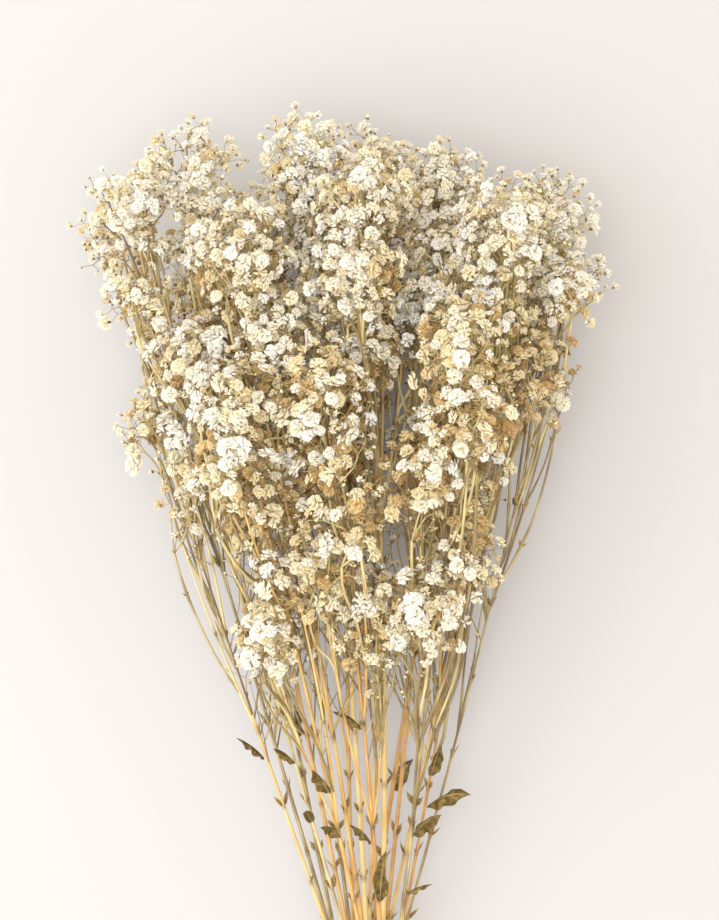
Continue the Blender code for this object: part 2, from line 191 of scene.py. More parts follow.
@dataclass(frozen=True)
class BunchLine:
    """The line of the bunch and the spiral in which its stems cross at the tie."""

    tie: Triple = (0.0180, -0.2377, 0.0241)
    lean_x: float = -0.0422
    rise_z: float = 0.150
    pitch: float = 0.0047
    spread_x: float = 34.5
    spread_z: float = 16.3
    cut_end_y: float = -0.2990
    cut_end_stagger: float = 0.0050

    def direction(self) -> Vector:
        """The way that the middle of the bunch runs."""
        return Vector((self.lean_x, 1.0, self.rise_z)).normalized()

    def free_point(self, spray: Spray, distance: float) -> Vector:
        """A point where a stem would run if it only followed the spiral.

        Args:
            spray: the stem.
            distance: how far past the tie along Y.

        Returns:
            The point.
        """
        slot_x = spray.row * self.pitch * math.sqrt(3.0) / 2.0
        slot_z = spray.place * self.pitch
        x = self.tie[0] + self.lean_x * distance + slot_x - self.spread_x * distance * slot_z
        z = self.tie[2] + self.rise_z * distance + slot_z + self.spread_z * distance * slot_x
        return Vector((x, self.tie[1] + distance, z))

    def reach(self, spray: Spray) -> float:
        """The distance along Y from the tie to a stem's top cluster."""
        return spray.top[1] - self.tie[1]

    def stem_point(self, spray: Spray, distance: float) -> Vector:
        """A point on a stem, which past the tie bends slowly towards its top cluster.

        Args:
            spray: the stem.
            distance: how far past the tie along Y.

        Returns:
            The point.
        """
        point = self.free_point(spray, distance)
        if distance <= 0.0:
            return point
        reach = self.reach(spray)
        drift = Vector(spray.top) - self.free_point(spray, reach)
        return point + drift * (distance / reach) ** 2

    def heading(self, spray: Spray, distance: float) -> Vector:
        """The way that a stem runs at a distance from the tie."""
        return (self.stem_point(spray, distance + MM) - self.stem_point(spray, distance)).normalized()

    def cut_end(self, index: int) -> float:
        """The distance of a stem's cut end from the tie, which is below zero."""
        return self.cut_end_y + self.cut_end_stagger * ((index * GOLDEN_FRACTION) % 1.0) - self.tie[1]


class FlowerSpace:
    """The air that the flowers fill: drawn-out round clusters, each of which belongs to one head."""

    STRETCH = 1.25
    DEPTH = 0.7
    JOIN = 0.60
    OUTWARD = 0.003

    def __init__(self, line: BunchLine) -> None:
        """Work out the clusters of every head.

        Args:
            line: the line of the bunch.
        """
        self.clusters = [self.clusters_of(line, index, spray) for index, spray in enumerate(SPRAYS)]
        self.rows = [(head, step) for head, found in enumerate(self.clusters) for step in range(len(found))]
        self.radii = np.array([self.clusters[head][step][1] for head, step in self.rows])
        self.centres = self.flatten(np.array([self.clusters[head][step][0] for head, step in self.rows]))

    def flatten(self, points: Array) -> Array:
        """Squeeze points along Y, so that the drawn-out clusters are round."""
        return points * np.array((1.0, 1.0 / self.STRETCH, 1.0))

    def clusters_of(self, line: BunchLine, index: int, spray: Spray) -> list[tuple[Vector, float]]:
        """The middle and radius of each cluster of a head, from the top one down.

        Args:
            line: the line of the bunch.
            index: the number of the head, from nothing.
            spray: its stem.

        Returns:
            A middle and a radius for each cluster.
        """
        found: list[tuple[Vector, float]] = []
        for step in range(spray.clusters):
            share = step / (spray.clusters - 1)
            y = spray.top[1] + (spray.low_y - spray.top[1]) * share
            turn = (index + step) * GOLDEN_ANGLE
            reach = spray.spread if step else 0.0
            offset = Vector((math.cos(turn), 0.0, self.DEPTH * math.sin(turn))) * reach
            offset.z += self.OUTWARD * spray.row if step else 0.0
            middle = line.stem_point(spray, y - line.tie[1]) + offset
            radius = spray.top_radius + (spray.low_radius - spray.top_radius) * share
            if found:
                gap = middle - found[-1][0]
                gap.y /= self.STRETCH
                radius = max(radius, self.JOIN * gap.length)
            found.append((middle, radius))
        return found

    def survey(self, points: Array) -> tuple[Array, Array, Array]:
        """Tell where points lie among the clusters.

        Args:
            points: an array of places, one a row.

        Returns:
            The row of the cluster that each point belongs to, how deep it lies below the skin of all
            clusters, and how far it lies below the highest flowers above it.
        """
        flat = self.flatten(points)
        gaps = np.linalg.norm(flat[:, None, :] - self.centres[None, :, :], axis=2)
        owner = np.argmax(self.radii[None, :] ** 2 - gaps ** 2, axis=1)
        depth = np.max(self.radii[None, :] - gaps, axis=1)
        aside = flat[:, None, :2] - self.centres[None, :, :2]
        left = self.radii[None, :] ** 2 - np.sum(aside ** 2, axis=2)
        tops = np.where(left > 0.0, self.centres[None, :, 2] + np.sqrt(np.maximum(left, 0.0)), -1.0)
        return owner, depth, np.max(tops, axis=1) - points[:, 2]


class Shape(IntEnum):
    """The shapes that are sown on twigs, by the number of their first variant. END comes after the last."""

    FLORET = 0
    HALF_OPEN = 6
    BUD = 9
    BRACT = 11
    END = 13

    def following(self) -> "Shape":
        """The shape whose variants come after this one's."""
        return next(shape for shape in Shape if shape > self)

    def variant(self, luck: Luck) -> int:
        """The number of one of the shape's variants."""
        return luck.pick(self, self.following())


class Gauge(IntEnum):
    """How finely a tube is rounded, from the thick to the thin ones."""

    STEM = 0
    TWIG = 1
    PEDICEL = 2

    @classmethod
    def fit(cls, radius: float) -> "Gauge":
        """The gauge for a tube of a radius."""
        return cls.STEM if radius >= 0.9 * MM else cls.TWIG if radius >= 0.42 * MM else cls.PEDICEL


@dataclass(frozen=True)
class Seed:
    """A floret, bud or bract: the place of its foot, the way it faces and how it looks."""

    foot: Vector
    axis: Vector
    spin: float
    size: float
    tone: float
    shape: int

    def scale(self) -> list[float]:
        """The size along each axis, uneven by an amount that follows from the spin."""
        return [self.size * (1.0 + gain * math.sin(pace * self.spin))
                for gain, pace in ((0.10, 7.0), (0.10, 11.0), (0.16, 17.0))]

    def turn(self) -> Euler:
        """The angles that turn a shape the way that the seed faces."""
        return (self.axis.to_track_quat("Z", "Y") @ Quaternion((0.0, 0.0, 1.0), self.spin)).to_euler()


@dataclass(frozen=True)
class Tuft:
    """A few florets and buds at the end of one twig, which parts at the foot."""

    foot: Vector
    axis: Vector
    seeds: list[Seed]


@dataclass(frozen=True)
class Strand:
    """The middle line of a round tube, with its radius at each point and one shade."""

    points: list[Vector]
    radii: list[float]
    shade: float
    joints: list[float]


@dataclass(frozen=True)
class Patch:
    """A round region of the bunch, seen from above, where the flowers differ."""

    x: float
    y: float
    radius: float
    strength: float

    def weight(self, point: Vector) -> float:
        """How much the patch counts at a point, from its strength in the middle to nothing outside."""
        away = math.hypot(point.x - self.x, point.y - self.y) / self.radius
        return self.strength * max(0.0, 1.0 - away * away)

    def weights(self, places: Array) -> Array:
        """How much the patch counts at each of many places."""
        away = np.hypot(places[:, 0] - self.x, places[:, 1] - self.y) / self.radius
        return self.strength * np.clip(1.0 - away ** 2, 0.0, 1.0)


def patches(*rows: tuple[float, float, float, float]) -> tuple[Patch, ...]:
    """Patches from rows of x, y, radius and strength."""
    return tuple(Patch(*row) for row in rows)


class Nodes:
    """A node tree that grows node by node."""

    def __init__(self, tree: bpy.types.NodeTree) -> None:
        """Take a tree."""
        self.tree = tree

    def feed(self, node: bpy.types.Node, inputs: dict[str | int, object]) -> None:
        """Join sockets to a node's inputs, or set them to plain values.

        Args:
            node: the node.
            inputs: a socket or a plain value for each input.
        """
        for key, value in inputs.items():
            if isinstance(value, Socket):
                self.tree.links.new(value, node.inputs[key])
            else:
                node.inputs[key].default_value = value

    def add(self, kind: str, inputs: dict[str | int, object] | None = None, **settings: object) -> bpy.types.Node:
        """Add a node.

        Args:
            kind: its type.
            inputs: the socket or plain value that each input takes, by name or number.
            settings: its properties.

        Returns:
            The node.
        """
        node = self.tree.nodes.new(kind)
        for key, value in settings.items():
            setattr(node, key, value)
        self.feed(node, inputs or {})
        return node


class Material(Nodes):
    """A material whose nodes are added one by one."""

    def __init__(self, name: str) -> None:
        """Start a material with a Principled shader.

        Args:
            name: the name of the material.
        """
        self.made = bpy.data.materials.new(name)
        self.made.use_nodes = True
        super().__init__(self.made.node_tree)
        self.shader = self.tree.nodes["Principled BSDF"]

    def attribute(self, name: str, output: str = "Fac") -> Socket:
        """Read an attribute of the mesh."""
        return self.add("ShaderNodeAttribute", attribute_name=name).outputs[output]

    def where(self) -> Socket:
        """The place on the object."""
        return self.add("ShaderNodeTexCoord").outputs["Object"]

    def math(self, operation: str, *values: object, clamp: bool = False) -> Socket:
        """Work out a number from sockets and plain numbers."""
        inputs = dict(enumerate(values))
        return self.add("ShaderNodeMath", inputs, operation=operation, use_clamp=clamp).outputs[0]

    def vector(self, operation: str, first: Socket, second: object) -> Socket:
        """Work out a vector from two, or from a vector and a number for all its axes."""
        return self.add("ShaderNodeVectorMath", {0: first, 1: second}, operation=operation).outputs[0]

    def run(self) -> Socket:
        """How far along its tube a point lies, as a vector."""
        return self.add("ShaderNodeCombineXYZ", {"Z": self.attribute("along")}).outputs[0]

    def grain(self, run: Socket, along: float, around: float) -> Socket:
        """The place on a tube, scaled along it and around it."""
        ring = self.vector("MULTIPLY", self.attribute("ring", "Vector"), (around,) * 3)
        return self.vector("ADD", self.vector("MULTIPLY", run, (0.0, 0.0, along)), ring)

    def noise(self, vector: Socket, scale: float, detail: float = 2.0) -> Socket:
        """A cloudy pattern from nothing to one."""
        inputs = {"Vector": vector, "Scale": scale, "Detail": detail}
        return self.add("ShaderNodeTexNoise", inputs).outputs["Fac"]

    def ramp(self, factor: Socket, *stops: tuple[float, str]) -> Socket:
        """A colour that runs through stops, each a place from nothing to one and a colour code.

        Args:
            factor: the socket that picks the place.
            stops: the stops in their order.

        Returns:
            The colour.
        """
        node = self.add("ShaderNodeValToRGB", {0: factor})
        band = node.color_ramp
        while len(band.elements) < len(stops):
            band.elements.new(0.5)
        for element, (place, code) in zip(band.elements, stops):
            element.position = place
            element.color = linear(code)
        return node.outputs["Color"]

    def mixed(self, factor: object, first: object, second: object) -> Socket:
        """A colour between two others."""
        return self.add("ShaderNodeMix", {0: factor, 6: first, 7: second}, data_type="RGBA").outputs[2]


@dataclass(frozen=True)
class Finish:
    """What all finishes share: a slot of the record, a roughness and a relief."""

    slot: str
    roughness: float
    bump_strength: float
    bump_height: float

    def complete(self, made: Material, colour: Socket, height: Socket,
                 others: dict[str, object] | None = None) -> bpy.types.Material:
        """Complete a material.

        Args:
            made: the material so far.
            colour: its colour.
            height: the pattern of its relief.
            others: further inputs of its shader.

        Returns:
            The material.
        """
        inputs = {"Strength": self.bump_strength, "Distance": self.bump_height, "Height": height}
        relief = made.add("ShaderNodeBump", inputs).outputs["Normal"]
        plain = {"Base Color": colour, "Roughness": self.roughness, "Normal": relief}
        made.feed(made.shader, plain | (others or {}))
        return made.made


@dataclass(frozen=True)
class StrawFinish(Finish):
    """Dry cane and twigs: lengthwise streaks, pale on top of a golden ground, and brown joints."""

    slot: str = "dry_stem"
    roughness: float = 0.55
    bump_strength: float = 0.35
    bump_height: float = 0.12 * MM
    streaks_around: float = 2.2
    streaks_along: float = 26.0
    blotches_along: float = 60.0

    def build(self) -> bpy.types.Material:
        """Make the material.

        Returns:
            The material.
        """
        made = Material("straw")
        shade = made.attribute("shade")
        offset = made.math("MULTIPLY", shade, 91.7)
        run = made.run()
        grain = made.grain(run, self.streaks_along, self.streaks_around)
        streak = made.noise(made.vector("ADD", grain, offset), 1.6, 3.0)
        stretched = made.vector("MULTIPLY", run, (0.0, 0.0, self.blotches_along))
        blotch = made.noise(made.vector("ADD", stretched, offset), 1.0)
        spread = made.math("MULTIPLY_ADD", streak, 0.90, made.math("SUBTRACT", shade, 0.45))
        tone = made.math("MULTIPLY_ADD", blotch, 0.50, made.math("SUBTRACT", spread, 0.25), clamp=True)
        cane = made.ramp(tone, (0.0, "4E3818"), (0.22, "88723A"), (0.45, "D2BF7A"),
                         (0.62, "CFA757"), (0.8, "BC8636"), (1.0, "8C501E"))
        dark = made.math("MULTIPLY", made.attribute("joint"), 0.75)
        return self.complete(made, made.mixed(dark, cane, linear("6A4A22")), streak)


@dataclass(frozen=True)
class PetalFinish(Finish):
    """Papery petals from beige to cream, darker towards the heart, on an olive brown husk."""

    slot: str = "dry_florets"
    roughness: float = 0.85
    bump_strength: float = 0.5
    bump_height: float = 0.3 * MM
    softness: float = 0.80
    soft_depth: float = 3.6 * MM
    soft_tint: Triple = (1.0, 0.86, 0.62)
    husk_part: float = 0.22

    def build(self) -> bpy.types.Material:
        """Make the material.

        Returns:
            The material.
        """
        made = Material("petal")
        # The tone attribute carries painted shade: it is low for florets that lie deep under others, which come out
        # brown.
        tone, part = made.attribute("tone"), made.attribute("part")
        local = made.vector("ADD", made.attribute("local", "Vector"), made.math("MULTIPLY", tone, 57.3))
        cloud = made.noise(local, 3.0)
        lit = made.math("MULTIPLY_ADD", made.math("SUBTRACT", cloud, 0.5), 0.35, tone, clamp=True)
        petal = made.ramp(lit, (0.0, "744B1A"), (0.26, "C2934A"), (0.50, "E5D096"), (0.74, "F0E7C6"),
                          (1.0, "F6F4E2"))
        rim = made.math("MULTIPLY_ADD", part, 1.8, -0.60, clamp=True)
        warmth = made.math("MINIMUM", made.math("MULTIPLY", tone, 1.6), 0.6)
        body = made.mixed(rim, made.mixed(warmth, petal, linear("C49E5A")), petal)
        husk = made.ramp(cloud, (0.3, "38270F"), (0.5, "5E441D"), (0.7, "86662F"))
        colour = made.mixed(made.math("LESS_THAN", part, self.husk_part), body, husk)
        soft = {"Subsurface Weight": self.softness, "Subsurface Scale": self.soft_depth,
                "Subsurface Radius": self.soft_tint}
        return self.complete(made, colour, made.noise(local, 11.0, 3.0), soft)


@dataclass(frozen=True)
class LeafFinish(Finish):
    """Withered leaf: olive to dark brown, with a paler midrib and a crumpled surface."""

    slot: str = "dry_leaf"
    roughness: float = 0.8
    bump_strength: float = 0.6
    bump_height: float = 0.4 * MM
    gloss: float = 0.2

    def build(self) -> bpy.types.Material:
        """Make the material.

        Returns:
            The material.
        """
        made = Material("withered_leaf")
        where = made.where()
        across = made.add("ShaderNodeSeparateXYZ", {0: made.attribute("blade", "Vector")}).outputs["X"]
        off_rib = made.math("MULTIPLY", made.math("ABSOLUTE", across), 7.0, clamp=True)
        blade = made.ramp(made.noise(where, 260.0, 3.0), (0.25, "241A08"), (0.45, "48360F"), (0.6, "66501E"),
                          (0.8, "8E7236"))
        colour = made.mixed(off_rib, linear("8A7446"), blade)
        wrinkle = made.noise(where, 900.0, 3.0)
        return self.complete(made, colour, wrinkle, {"Specular IOR Level": self.gloss})


@dataclass(frozen=True)
class TwineFinish(Finish):
    """Jute: brown fibres that run along each strand."""

    slot: str = "twine"
    roughness: float = 0.9
    bump_strength: float = 0.7
    bump_height: float = 0.2 * MM
    fibres_along: float = 160.0
    fibres_around: float = 3.0

    def build(self) -> bpy.types.Material:
        """Make the material.

        Returns:
            The material.
        """
        made = Material("jute")
        fibre = made.noise(made.grain(made.run(), self.fibres_along, self.fibres_around), 2.0, 4.0)
        colour = made.ramp(fibre, (0.3, "6E5030"), (0.5, "A07C4C"), (0.72, "C9A874"))
        return self.complete(made, colour, fibre)


@dataclass(frozen=True)
class FloorFinish:
    """Matt off-white paper board."""

    colours: tuple[str, str] = ("B3B1AE", "AFADAA")
    roughness: float = 0.8
    gloss: float = 0.2

    def build(self) -> bpy.types.Material:
        """Make the material.

        Returns:
            The material.
        """
        made = Material("board")
        colour = made.mixed(made.noise(made.where(), 3.0), *map(linear, self.colours))
        values = {"Base Color": colour, "Roughness": self.roughness, "Specular IOR Level": self.gloss}
        made.feed(made.shader, values)
        return made.made


class GeometryTree(Nodes):
    """A Geometry Nodes tree with named inputs, used on one object at a time."""

    def __init__(self, name: str, inputs: dict[str, str]) -> None:
        """Start a tree with a geometry input, further named inputs and a geometry output.

        Args:
            name: the name of the tree.
            inputs: the kind of each named input.
        """
        super().__init__(bpy.data.node_groups.new(name, "GeometryNodeTree"))
        rows = [("Geometry", "Geometry", "INPUT"), *((label, kind, "INPUT") for label, kind in inputs.items()),
                ("Geometry", "Geometry", "OUTPUT")]
        made = [self.tree.interface.new_socket(label, in_out=way, socket_type=f"NodeSocket{kind}")
                for label, kind, way in rows]
        self.sockets = {socket.name: socket.identifier for socket in made[1:-1]}
        self.source = self.add("NodeGroupInput")
        self.target = self.add("NodeGroupOutput")

    def named(self, name: str, kind: str) -> Socket:
        """Read a named attribute."""
        return self.add("GeometryNodeInputNamedAttribute", {"Name": name}, data_type=kind).outputs["Attribute"]

    def end(self, shape: Socket) -> None:
        """End the tree with real geometry that has its material.

        Args:
            shape: the geometry, instances and all.
        """
        real = self.add("GeometryNodeRealizeInstances", {"Geometry": shape}).outputs["Geometry"]
        inputs = {"Geometry": real, "Material": self.source.outputs["Finish"]}
        self.feed(self.target, {"Geometry": self.add("GeometryNodeSetMaterial", inputs).outputs["Geometry"]})

    def grow(self, name: str, start: bpy.types.Mesh, values: dict[str, object]) -> bpy.types.Object:
        """Run the tree on a mesh and return the result as a plain object.

        Args:
            name: the name of the new object.
            start: the mesh that the tree works on, which is used up.
            values: a value for each named input.

        Returns:
            The new object, with no modifier.
        """
        guide = shown("guide", start)
        work = guide.modifiers.new("grow", "NODES")
        work.node_group = self.tree
        for label, value in values.items():
            work[self.sockets[label]] = value
        mesh = settled(guide)
        mesh.name = name
        bpy.data.meshes.remove(start)
        return shown(name, mesh)


class TubeTree(GeometryTree):
    """Makes round, capped tubes along strands, with fewer sides on the thin ones."""

    SIDES = ("Stem Sides", "Twig Sides", "Pedicel Sides")

    def __init__(self) -> None:
        """Build the tree."""
        super().__init__("tubes_along_strands", {label: "Int" for label in self.SIDES} | {"Finish": "Material"})
        curves = self.add("GeometryNodeMeshToCurve", {"Mesh": self.source.outputs["Geometry"]}).outputs["Curve"]
        every = self.add("GeometryNodeJoinGeometry")
        for gauge, label in zip(Gauge, self.SIDES):
            same = self.add("FunctionNodeCompare", {"A": self.named("gauge", "INT"), "B": int(gauge)},
                            data_type="INT", operation="EQUAL").outputs["Result"]
            parted = self.add("GeometryNodeSeparateGeometry", {"Geometry": curves, "Selection": same},
                              domain="CURVE").outputs["Selection"]
            self.feed(every, {"Geometry": self.tube(parted, self.source.outputs[label])})
        self.end(every.outputs["Geometry"])

    def tube(self, rail: Socket, sides: Socket) -> Socket:
        """Sweep a circle along curves and note where round the tube each point lies.

        Args:
            rail: the curves.
            sides: how many sides the tube has.

        Returns:
            The mesh of the tubes.
        """
        circle = self.add("GeometryNodeCurvePrimitiveCircle", {"Radius": 1.0, "Resolution": sides}).outputs["Curve"]
        spot = self.add("GeometryNodeInputPosition").outputs[0]
        noted = self.add("GeometryNodeStoreNamedAttribute", {"Name": "ring", "Geometry": circle, "Value": spot},
                         data_type="FLOAT_VECTOR", domain="POINT").outputs["Geometry"]
        inputs = {"Curve": rail, "Profile Curve": noted, "Scale": self.named("radius", "FLOAT"), "Fill Caps": True}
        return self.add("GeometryNodeCurveToMesh", inputs).outputs["Mesh"]

    def make(self, name: str, strands: list[Strand], finish: bpy.types.Material,
             sides: tuple[int, int, int] = (8, 5, 3)) -> bpy.types.Object:
        """Make the tubes of one piece.

        Args:
            name: the name of the piece.
            strands: the middle lines.
            finish: its material.
            sides: how many sides a tube of each gauge has.

        Returns:
            The piece, at the origin.
        """
        points: list[Vector] = []
        edges: list[tuple[int, int]] = []
        values: dict[str, list[float]] = {label: [] for label in ("radius", "shade", "along", "joint", "gauge")}
        for strand in strands:
            first, count = len(points), len(strand.points)
            steps = [(after - before).length for before, after in zip(strand.points, strand.points[1:])]
            edges.extend((first + at, first + at + 1) for at in range(count - 1))
            points.extend(strand.points)
            values["radius"].extend(strand.radii)
            values["shade"].extend([strand.shade] * count)
            values["along"].extend(accumulate(steps, initial=0.0))
            values["joint"].extend(strand.joints)
            values["gauge"].extend([int(Gauge.fit(max(strand.radii)))] * count)
        mesh = bpy.data.meshes.new("strands")
        mesh.from_pydata(points, edges, [])
        for label, row in values.items():
            note(mesh, label, "INT" if label == "gauge" else "FLOAT", row)
        made = self.grow(name, mesh, dict(zip(self.SIDES, sides)) | {"Finish": finish})
        made.data.shade_smooth()
        return made


class SowTree(GeometryTree):
    """Sets a shape at each seed, turned and sized as the seed says."""

    def __init__(self) -> None:
        """Build the tree."""
        super().__init__("shapes_on_seeds", {"Shapes": "Collection", "Finish": "Material"})
        shapes = self.add("GeometryNodeCollectionInfo", {
            "Collection": self.source.outputs["Shapes"], "Separate Children": True, "Reset Children": True})
        turn = self.add("FunctionNodeEulerToRotation", {0: self.named("turn", "FLOAT_VECTOR")})
        sown = self.add("GeometryNodeInstanceOnPoints", {
            "Points": self.source.outputs["Geometry"], "Instance": shapes.outputs["Instances"],
            "Pick Instance": True, "Instance Index": self.named("shape", "INT"),
            "Rotation": turn.outputs[0], "Scale": self.named("size", "FLOAT_VECTOR")})
        self.end(sown.outputs["Instances"])

    def make(self, name: str, seeds: list[Seed], shapes: bpy.types.Collection,
             finish: bpy.types.Material) -> bpy.types.Object:
        """Set the shapes of one piece.

        Args:
            name: the name of the piece.
            seeds: where each shape goes.
            shapes: the variants, by name in the order of their numbers.
            finish: the material.

        Returns:
            The piece, at the origin.
        """
        mesh = bpy.data.meshes.new("seeds")
        mesh.from_pydata([seed.foot for seed in seeds], [], [])
        note(mesh, "turn", "FLOAT_VECTOR", [angle for seed in seeds for angle in seed.turn()])
        note(mesh, "size", "FLOAT_VECTOR", [size for seed in seeds for size in seed.scale()])
        note(mesh, "tone", "FLOAT", [seed.tone for seed in seeds])
        note(mesh, "shape", "INT", [seed.shape for seed in seeds])
        return self.grow(name, mesh, {"Shapes": shapes, "Finish": finish})


class Sculpt:
    """A small closed shape in the making, with the part of the flower that each point belongs to."""

    def __init__(self) -> None:
        """Start with nothing."""
        self.shape = bmesh.new()
        self.parts: list[float] = []

    def point(self, place: Triple, part: float) -> bmesh.types.BMVert:
        """Add a point."""
        self.parts.append(part)
        return self.shape.verts.new(place)

    def face(self, *corners: bmesh.types.BMVert) -> None:
        """Add a face."""
        self.shape.faces.new(corners)

    def finish(self, name: str, smooth: bool) -> bpy.types.Object:
        """Turn the shape into an object that notes each point's part and place.

        Args:
            name: the name of the object.
            smooth: whether its faces shade into each other.

        Returns:
            The object, which isn't in the scene yet.
        """
        bmesh.ops.recalc_face_normals(self.shape, faces=self.shape.faces)
        mesh = bpy.data.meshes.new(name)
        self.shape.to_mesh(mesh)
        self.shape.free()
        if smooth:
            mesh.shade_smooth()
        note(mesh, "part", "FLOAT", self.parts)
        note(mesh, "local", "FLOAT_VECTOR", [value for vert in mesh.vertices for value in vert.co])
        return bpy.data.objects.new(name, mesh)


@dataclass(frozen=True)
class Ring:
    """A ring of a bud or scale, in shares of its size: two reaches by turns, a height and a part."""

    fold: float
    notch: float
    height: float
    part: float


@dataclass(frozen=True)
class Rosette:
    """A bud or scale, closed from its foot to its tip."""

    rings: tuple[Ring, ...]
    sides: int
    tip: float
    tip_part: float
    ruffle: float

    def build(self, name: str, seed: int) -> bpy.types.Object:
        """Make one variant.

        Args:
            name: the name of the object.
            seed: what makes this variant differ from the others.

        Returns:
            An object of unit size with its foot at the origin, facing +Z.
        """
        luck = Luck(seed)
        made = Sculpt()
        foot = made.point((0.0, 0.0, 0.0), 0.0)
        rows = []
        for ring in self.rings:
            phase = luck.uniform(-0.12, 0.12)
            row = []
            for side in range(self.sides):
                turn = phase + (side + luck.uniform(-0.20, 0.20) * self.ruffle) * math.tau / self.sides
                reach = (ring.notch if side % 2 else ring.fold) * (1.0 + luck.uniform(-0.16, 0.12) * self.ruffle)
                height = ring.height + luck.uniform(-0.05, 0.05) * self.ruffle
                row.append(made.point((math.cos(turn) * reach, math.sin(turn) * reach, height), ring.part))
            rows.append(row)
        tip = made.point((0.0, 0.0, self.tip), self.tip_part)
        for side in range(self.sides):
            after = (side + 1) % self.sides
            made.face(foot, rows[0][after], rows[0][side])
            for lower, upper in zip(rows, rows[1:]):
                made.face(lower[side], lower[after], upper[after], upper[side])
            made.face(rows[-1][side], rows[-1][after], tip)
        return made.finish(name, True)


@dataclass(frozen=True)
class Whorl:
    """A ring of petals: their number, and in shares of the floret's size their length and width.

    rise is how steeply they stand, in degrees.
    """

    count: int
    reach: float
    width: float
    rise: float


@dataclass(frozen=True)
class Pompom:
    """A double floret: a husk, and whorls of creased petals round its heart, each a thin closed blade."""

    whorls: tuple[Whorl, ...]
    heart: float = 0.34
    husk_reach: float = 0.15
    husk_height: float = 0.24
    husk_sides: int = 4
    husk_part: float = 0.1
    crease: float = 0.11
    root: float = 0.05
    root_part: float = 0.36
    crease_part: float = 0.80
    disorder: float = 0.22
    roll: float = 0.40
    lean: float = 9.0

    def build(self, name: str, seed: int) -> bpy.types.Object:
        """Make one variant.

        Args:
            name: the name of the object.
            seed: what makes this variant differ from the others.

        Returns:
            An object of unit size with its foot at the origin, facing +Z.
        """
        luck = Luck(seed)
        made = Sculpt()
        self.husk(made)
        for whorl in self.whorls:
            phase = luck.turn()
            for place in range(whorl.count):
                turn = phase + (place + luck.uniform(-1.0, 1.0) * self.disorder) * math.tau / whorl.count
                self.petal(made, whorl, turn, math.radians(whorl.rise + luck.normal() * self.lean), luck)
        return made.finish(name, False)

    def husk(self, made: Sculpt) -> None:
        """Add the husk that holds the petals.

        Args:
            made: the floret so far.
        """
        foot = made.point((0.0, 0.0, 0.0), 0.0)
        top = made.point((0.0, 0.0, self.heart), self.husk_part)
        turns = [math.tau * side / self.husk_sides for side in range(self.husk_sides)]
        row = [made.point((math.cos(turn) * self.husk_reach, math.sin(turn) * self.husk_reach, self.husk_height),
                          self.husk_part) for turn in turns]
        for side, after in zip(row, row[1:] + row[:1]):
            made.face(foot, after, side)
            made.face(side, after, top)

    def petal(self, made: Sculpt, whorl: Whorl, turn: float, rise: float, luck: Luck) -> None:
        """Add one petal, a blade creased along its middle.

        Args:
            made: the floret so far.
            whorl: the ring that the petal belongs to.
            turn: where it stands in the ring.
            rise: how steeply it stands.
            luck: the source of chance.
        """
        way = Vector((math.cos(rise) * math.cos(turn), math.cos(rise) * math.sin(turn), math.sin(rise)))
        side = Vector((-math.sin(turn), math.cos(turn), 0.0))
        side.rotate(Quaternion(way, luck.normal() * self.roll))
        heart = Vector((0.0, 0.0, self.heart))
        length = whorl.reach * luck.uniform(0.84, 1.08)
        half = whorl.width / 2.0 * luck.uniform(0.85, 1.15)
        depth = self.crease * luck.uniform(0.6, 1.3) * (1.0 if luck.uniform() < 0.5 else -1.0)
        root = made.point(heart + way * self.root, self.root_part)
        left = made.point(heart + way * (length * luck.uniform(0.92, 1.08)) + side * half, 1.0)
        right = made.point(heart + way * (length * luck.uniform(0.92, 1.08)) - side * half, 1.0)
        crease = heart + way * (length * luck.uniform(0.84, 1.10)) + way.cross(side) * depth
        middle = made.point(crease, self.crease_part)
        for corners in ((root, left, middle), (root, middle, right), (root, right, left), (left, right, middle)):
            made.face(*corners)


class ShapeSet:
    """The variants of florets, buds and bracts, in a collection that isn't part of the scene."""

    FORMS = {
        Shape.FLORET: Pompom((Whorl(6, 0.50, 0.50, -8.0), Whorl(6, 0.50, 0.46, 26.0), Whorl(4, 0.46, 0.42, 62.0))),
        Shape.HALF_OPEN: Pompom((Whorl(4, 0.44, 0.40, 22.0), Whorl(4, 0.46, 0.34, 58.0)),
                                heart=0.30, husk_reach=0.19, husk_height=0.22),
        Shape.BUD: Rosette((Ring(0.30, 0.27, 0.22, 0.0), Ring(0.36, 0.33, 0.62, 0.3)), 5, 1.0, 0.9, 0.3),
        Shape.BRACT: Rosette((Ring(0.14, 0.05, 0.10, 0.0), Ring(0.18, 0.05, 0.50, 0.1)), 4, 1.0, 0.1, 0.5),
    }
    FIRST_SEED = 11

    def __init__(self) -> None:
        """Make every variant."""
        self.group = bpy.data.collections.new("shapes")
        for shape, form in self.FORMS.items():
            for number in range(shape, shape.following()):
                self.group.objects.link(form.build(f"shape_{number:02d}", number + self.FIRST_SEED))

    def clear(self) -> None:
        """Remove the variants once every piece is made."""
        for thing in list(self.group.objects):
            bpy.data.objects.remove(thing, do_unlink=True)
        bpy.data.collections.remove(self.group)


@dataclass(frozen=True)
class Site:
    """Where a tuft stands: its middle, its foot, the way it faces and what that does to its florets.

    rise goes from nothing low down to one high up. shine comes from the highlight patches, and the painted
    shade of the deeper florets from the shade patches; drift is chance. depth is how deep the tuft lies. rim
    tells whether it is at the side of its cluster's skin, and edge whether it is there or at the top.
    """

    centre: Vector
    foot: Vector
    axis: Vector
    depth: float
    rise: float
    shine: float
    # painted shade from the shade patches, taken off the tone of the deeper florets
    painted_shade: float
    drift: float
    edge: bool
    rim: bool


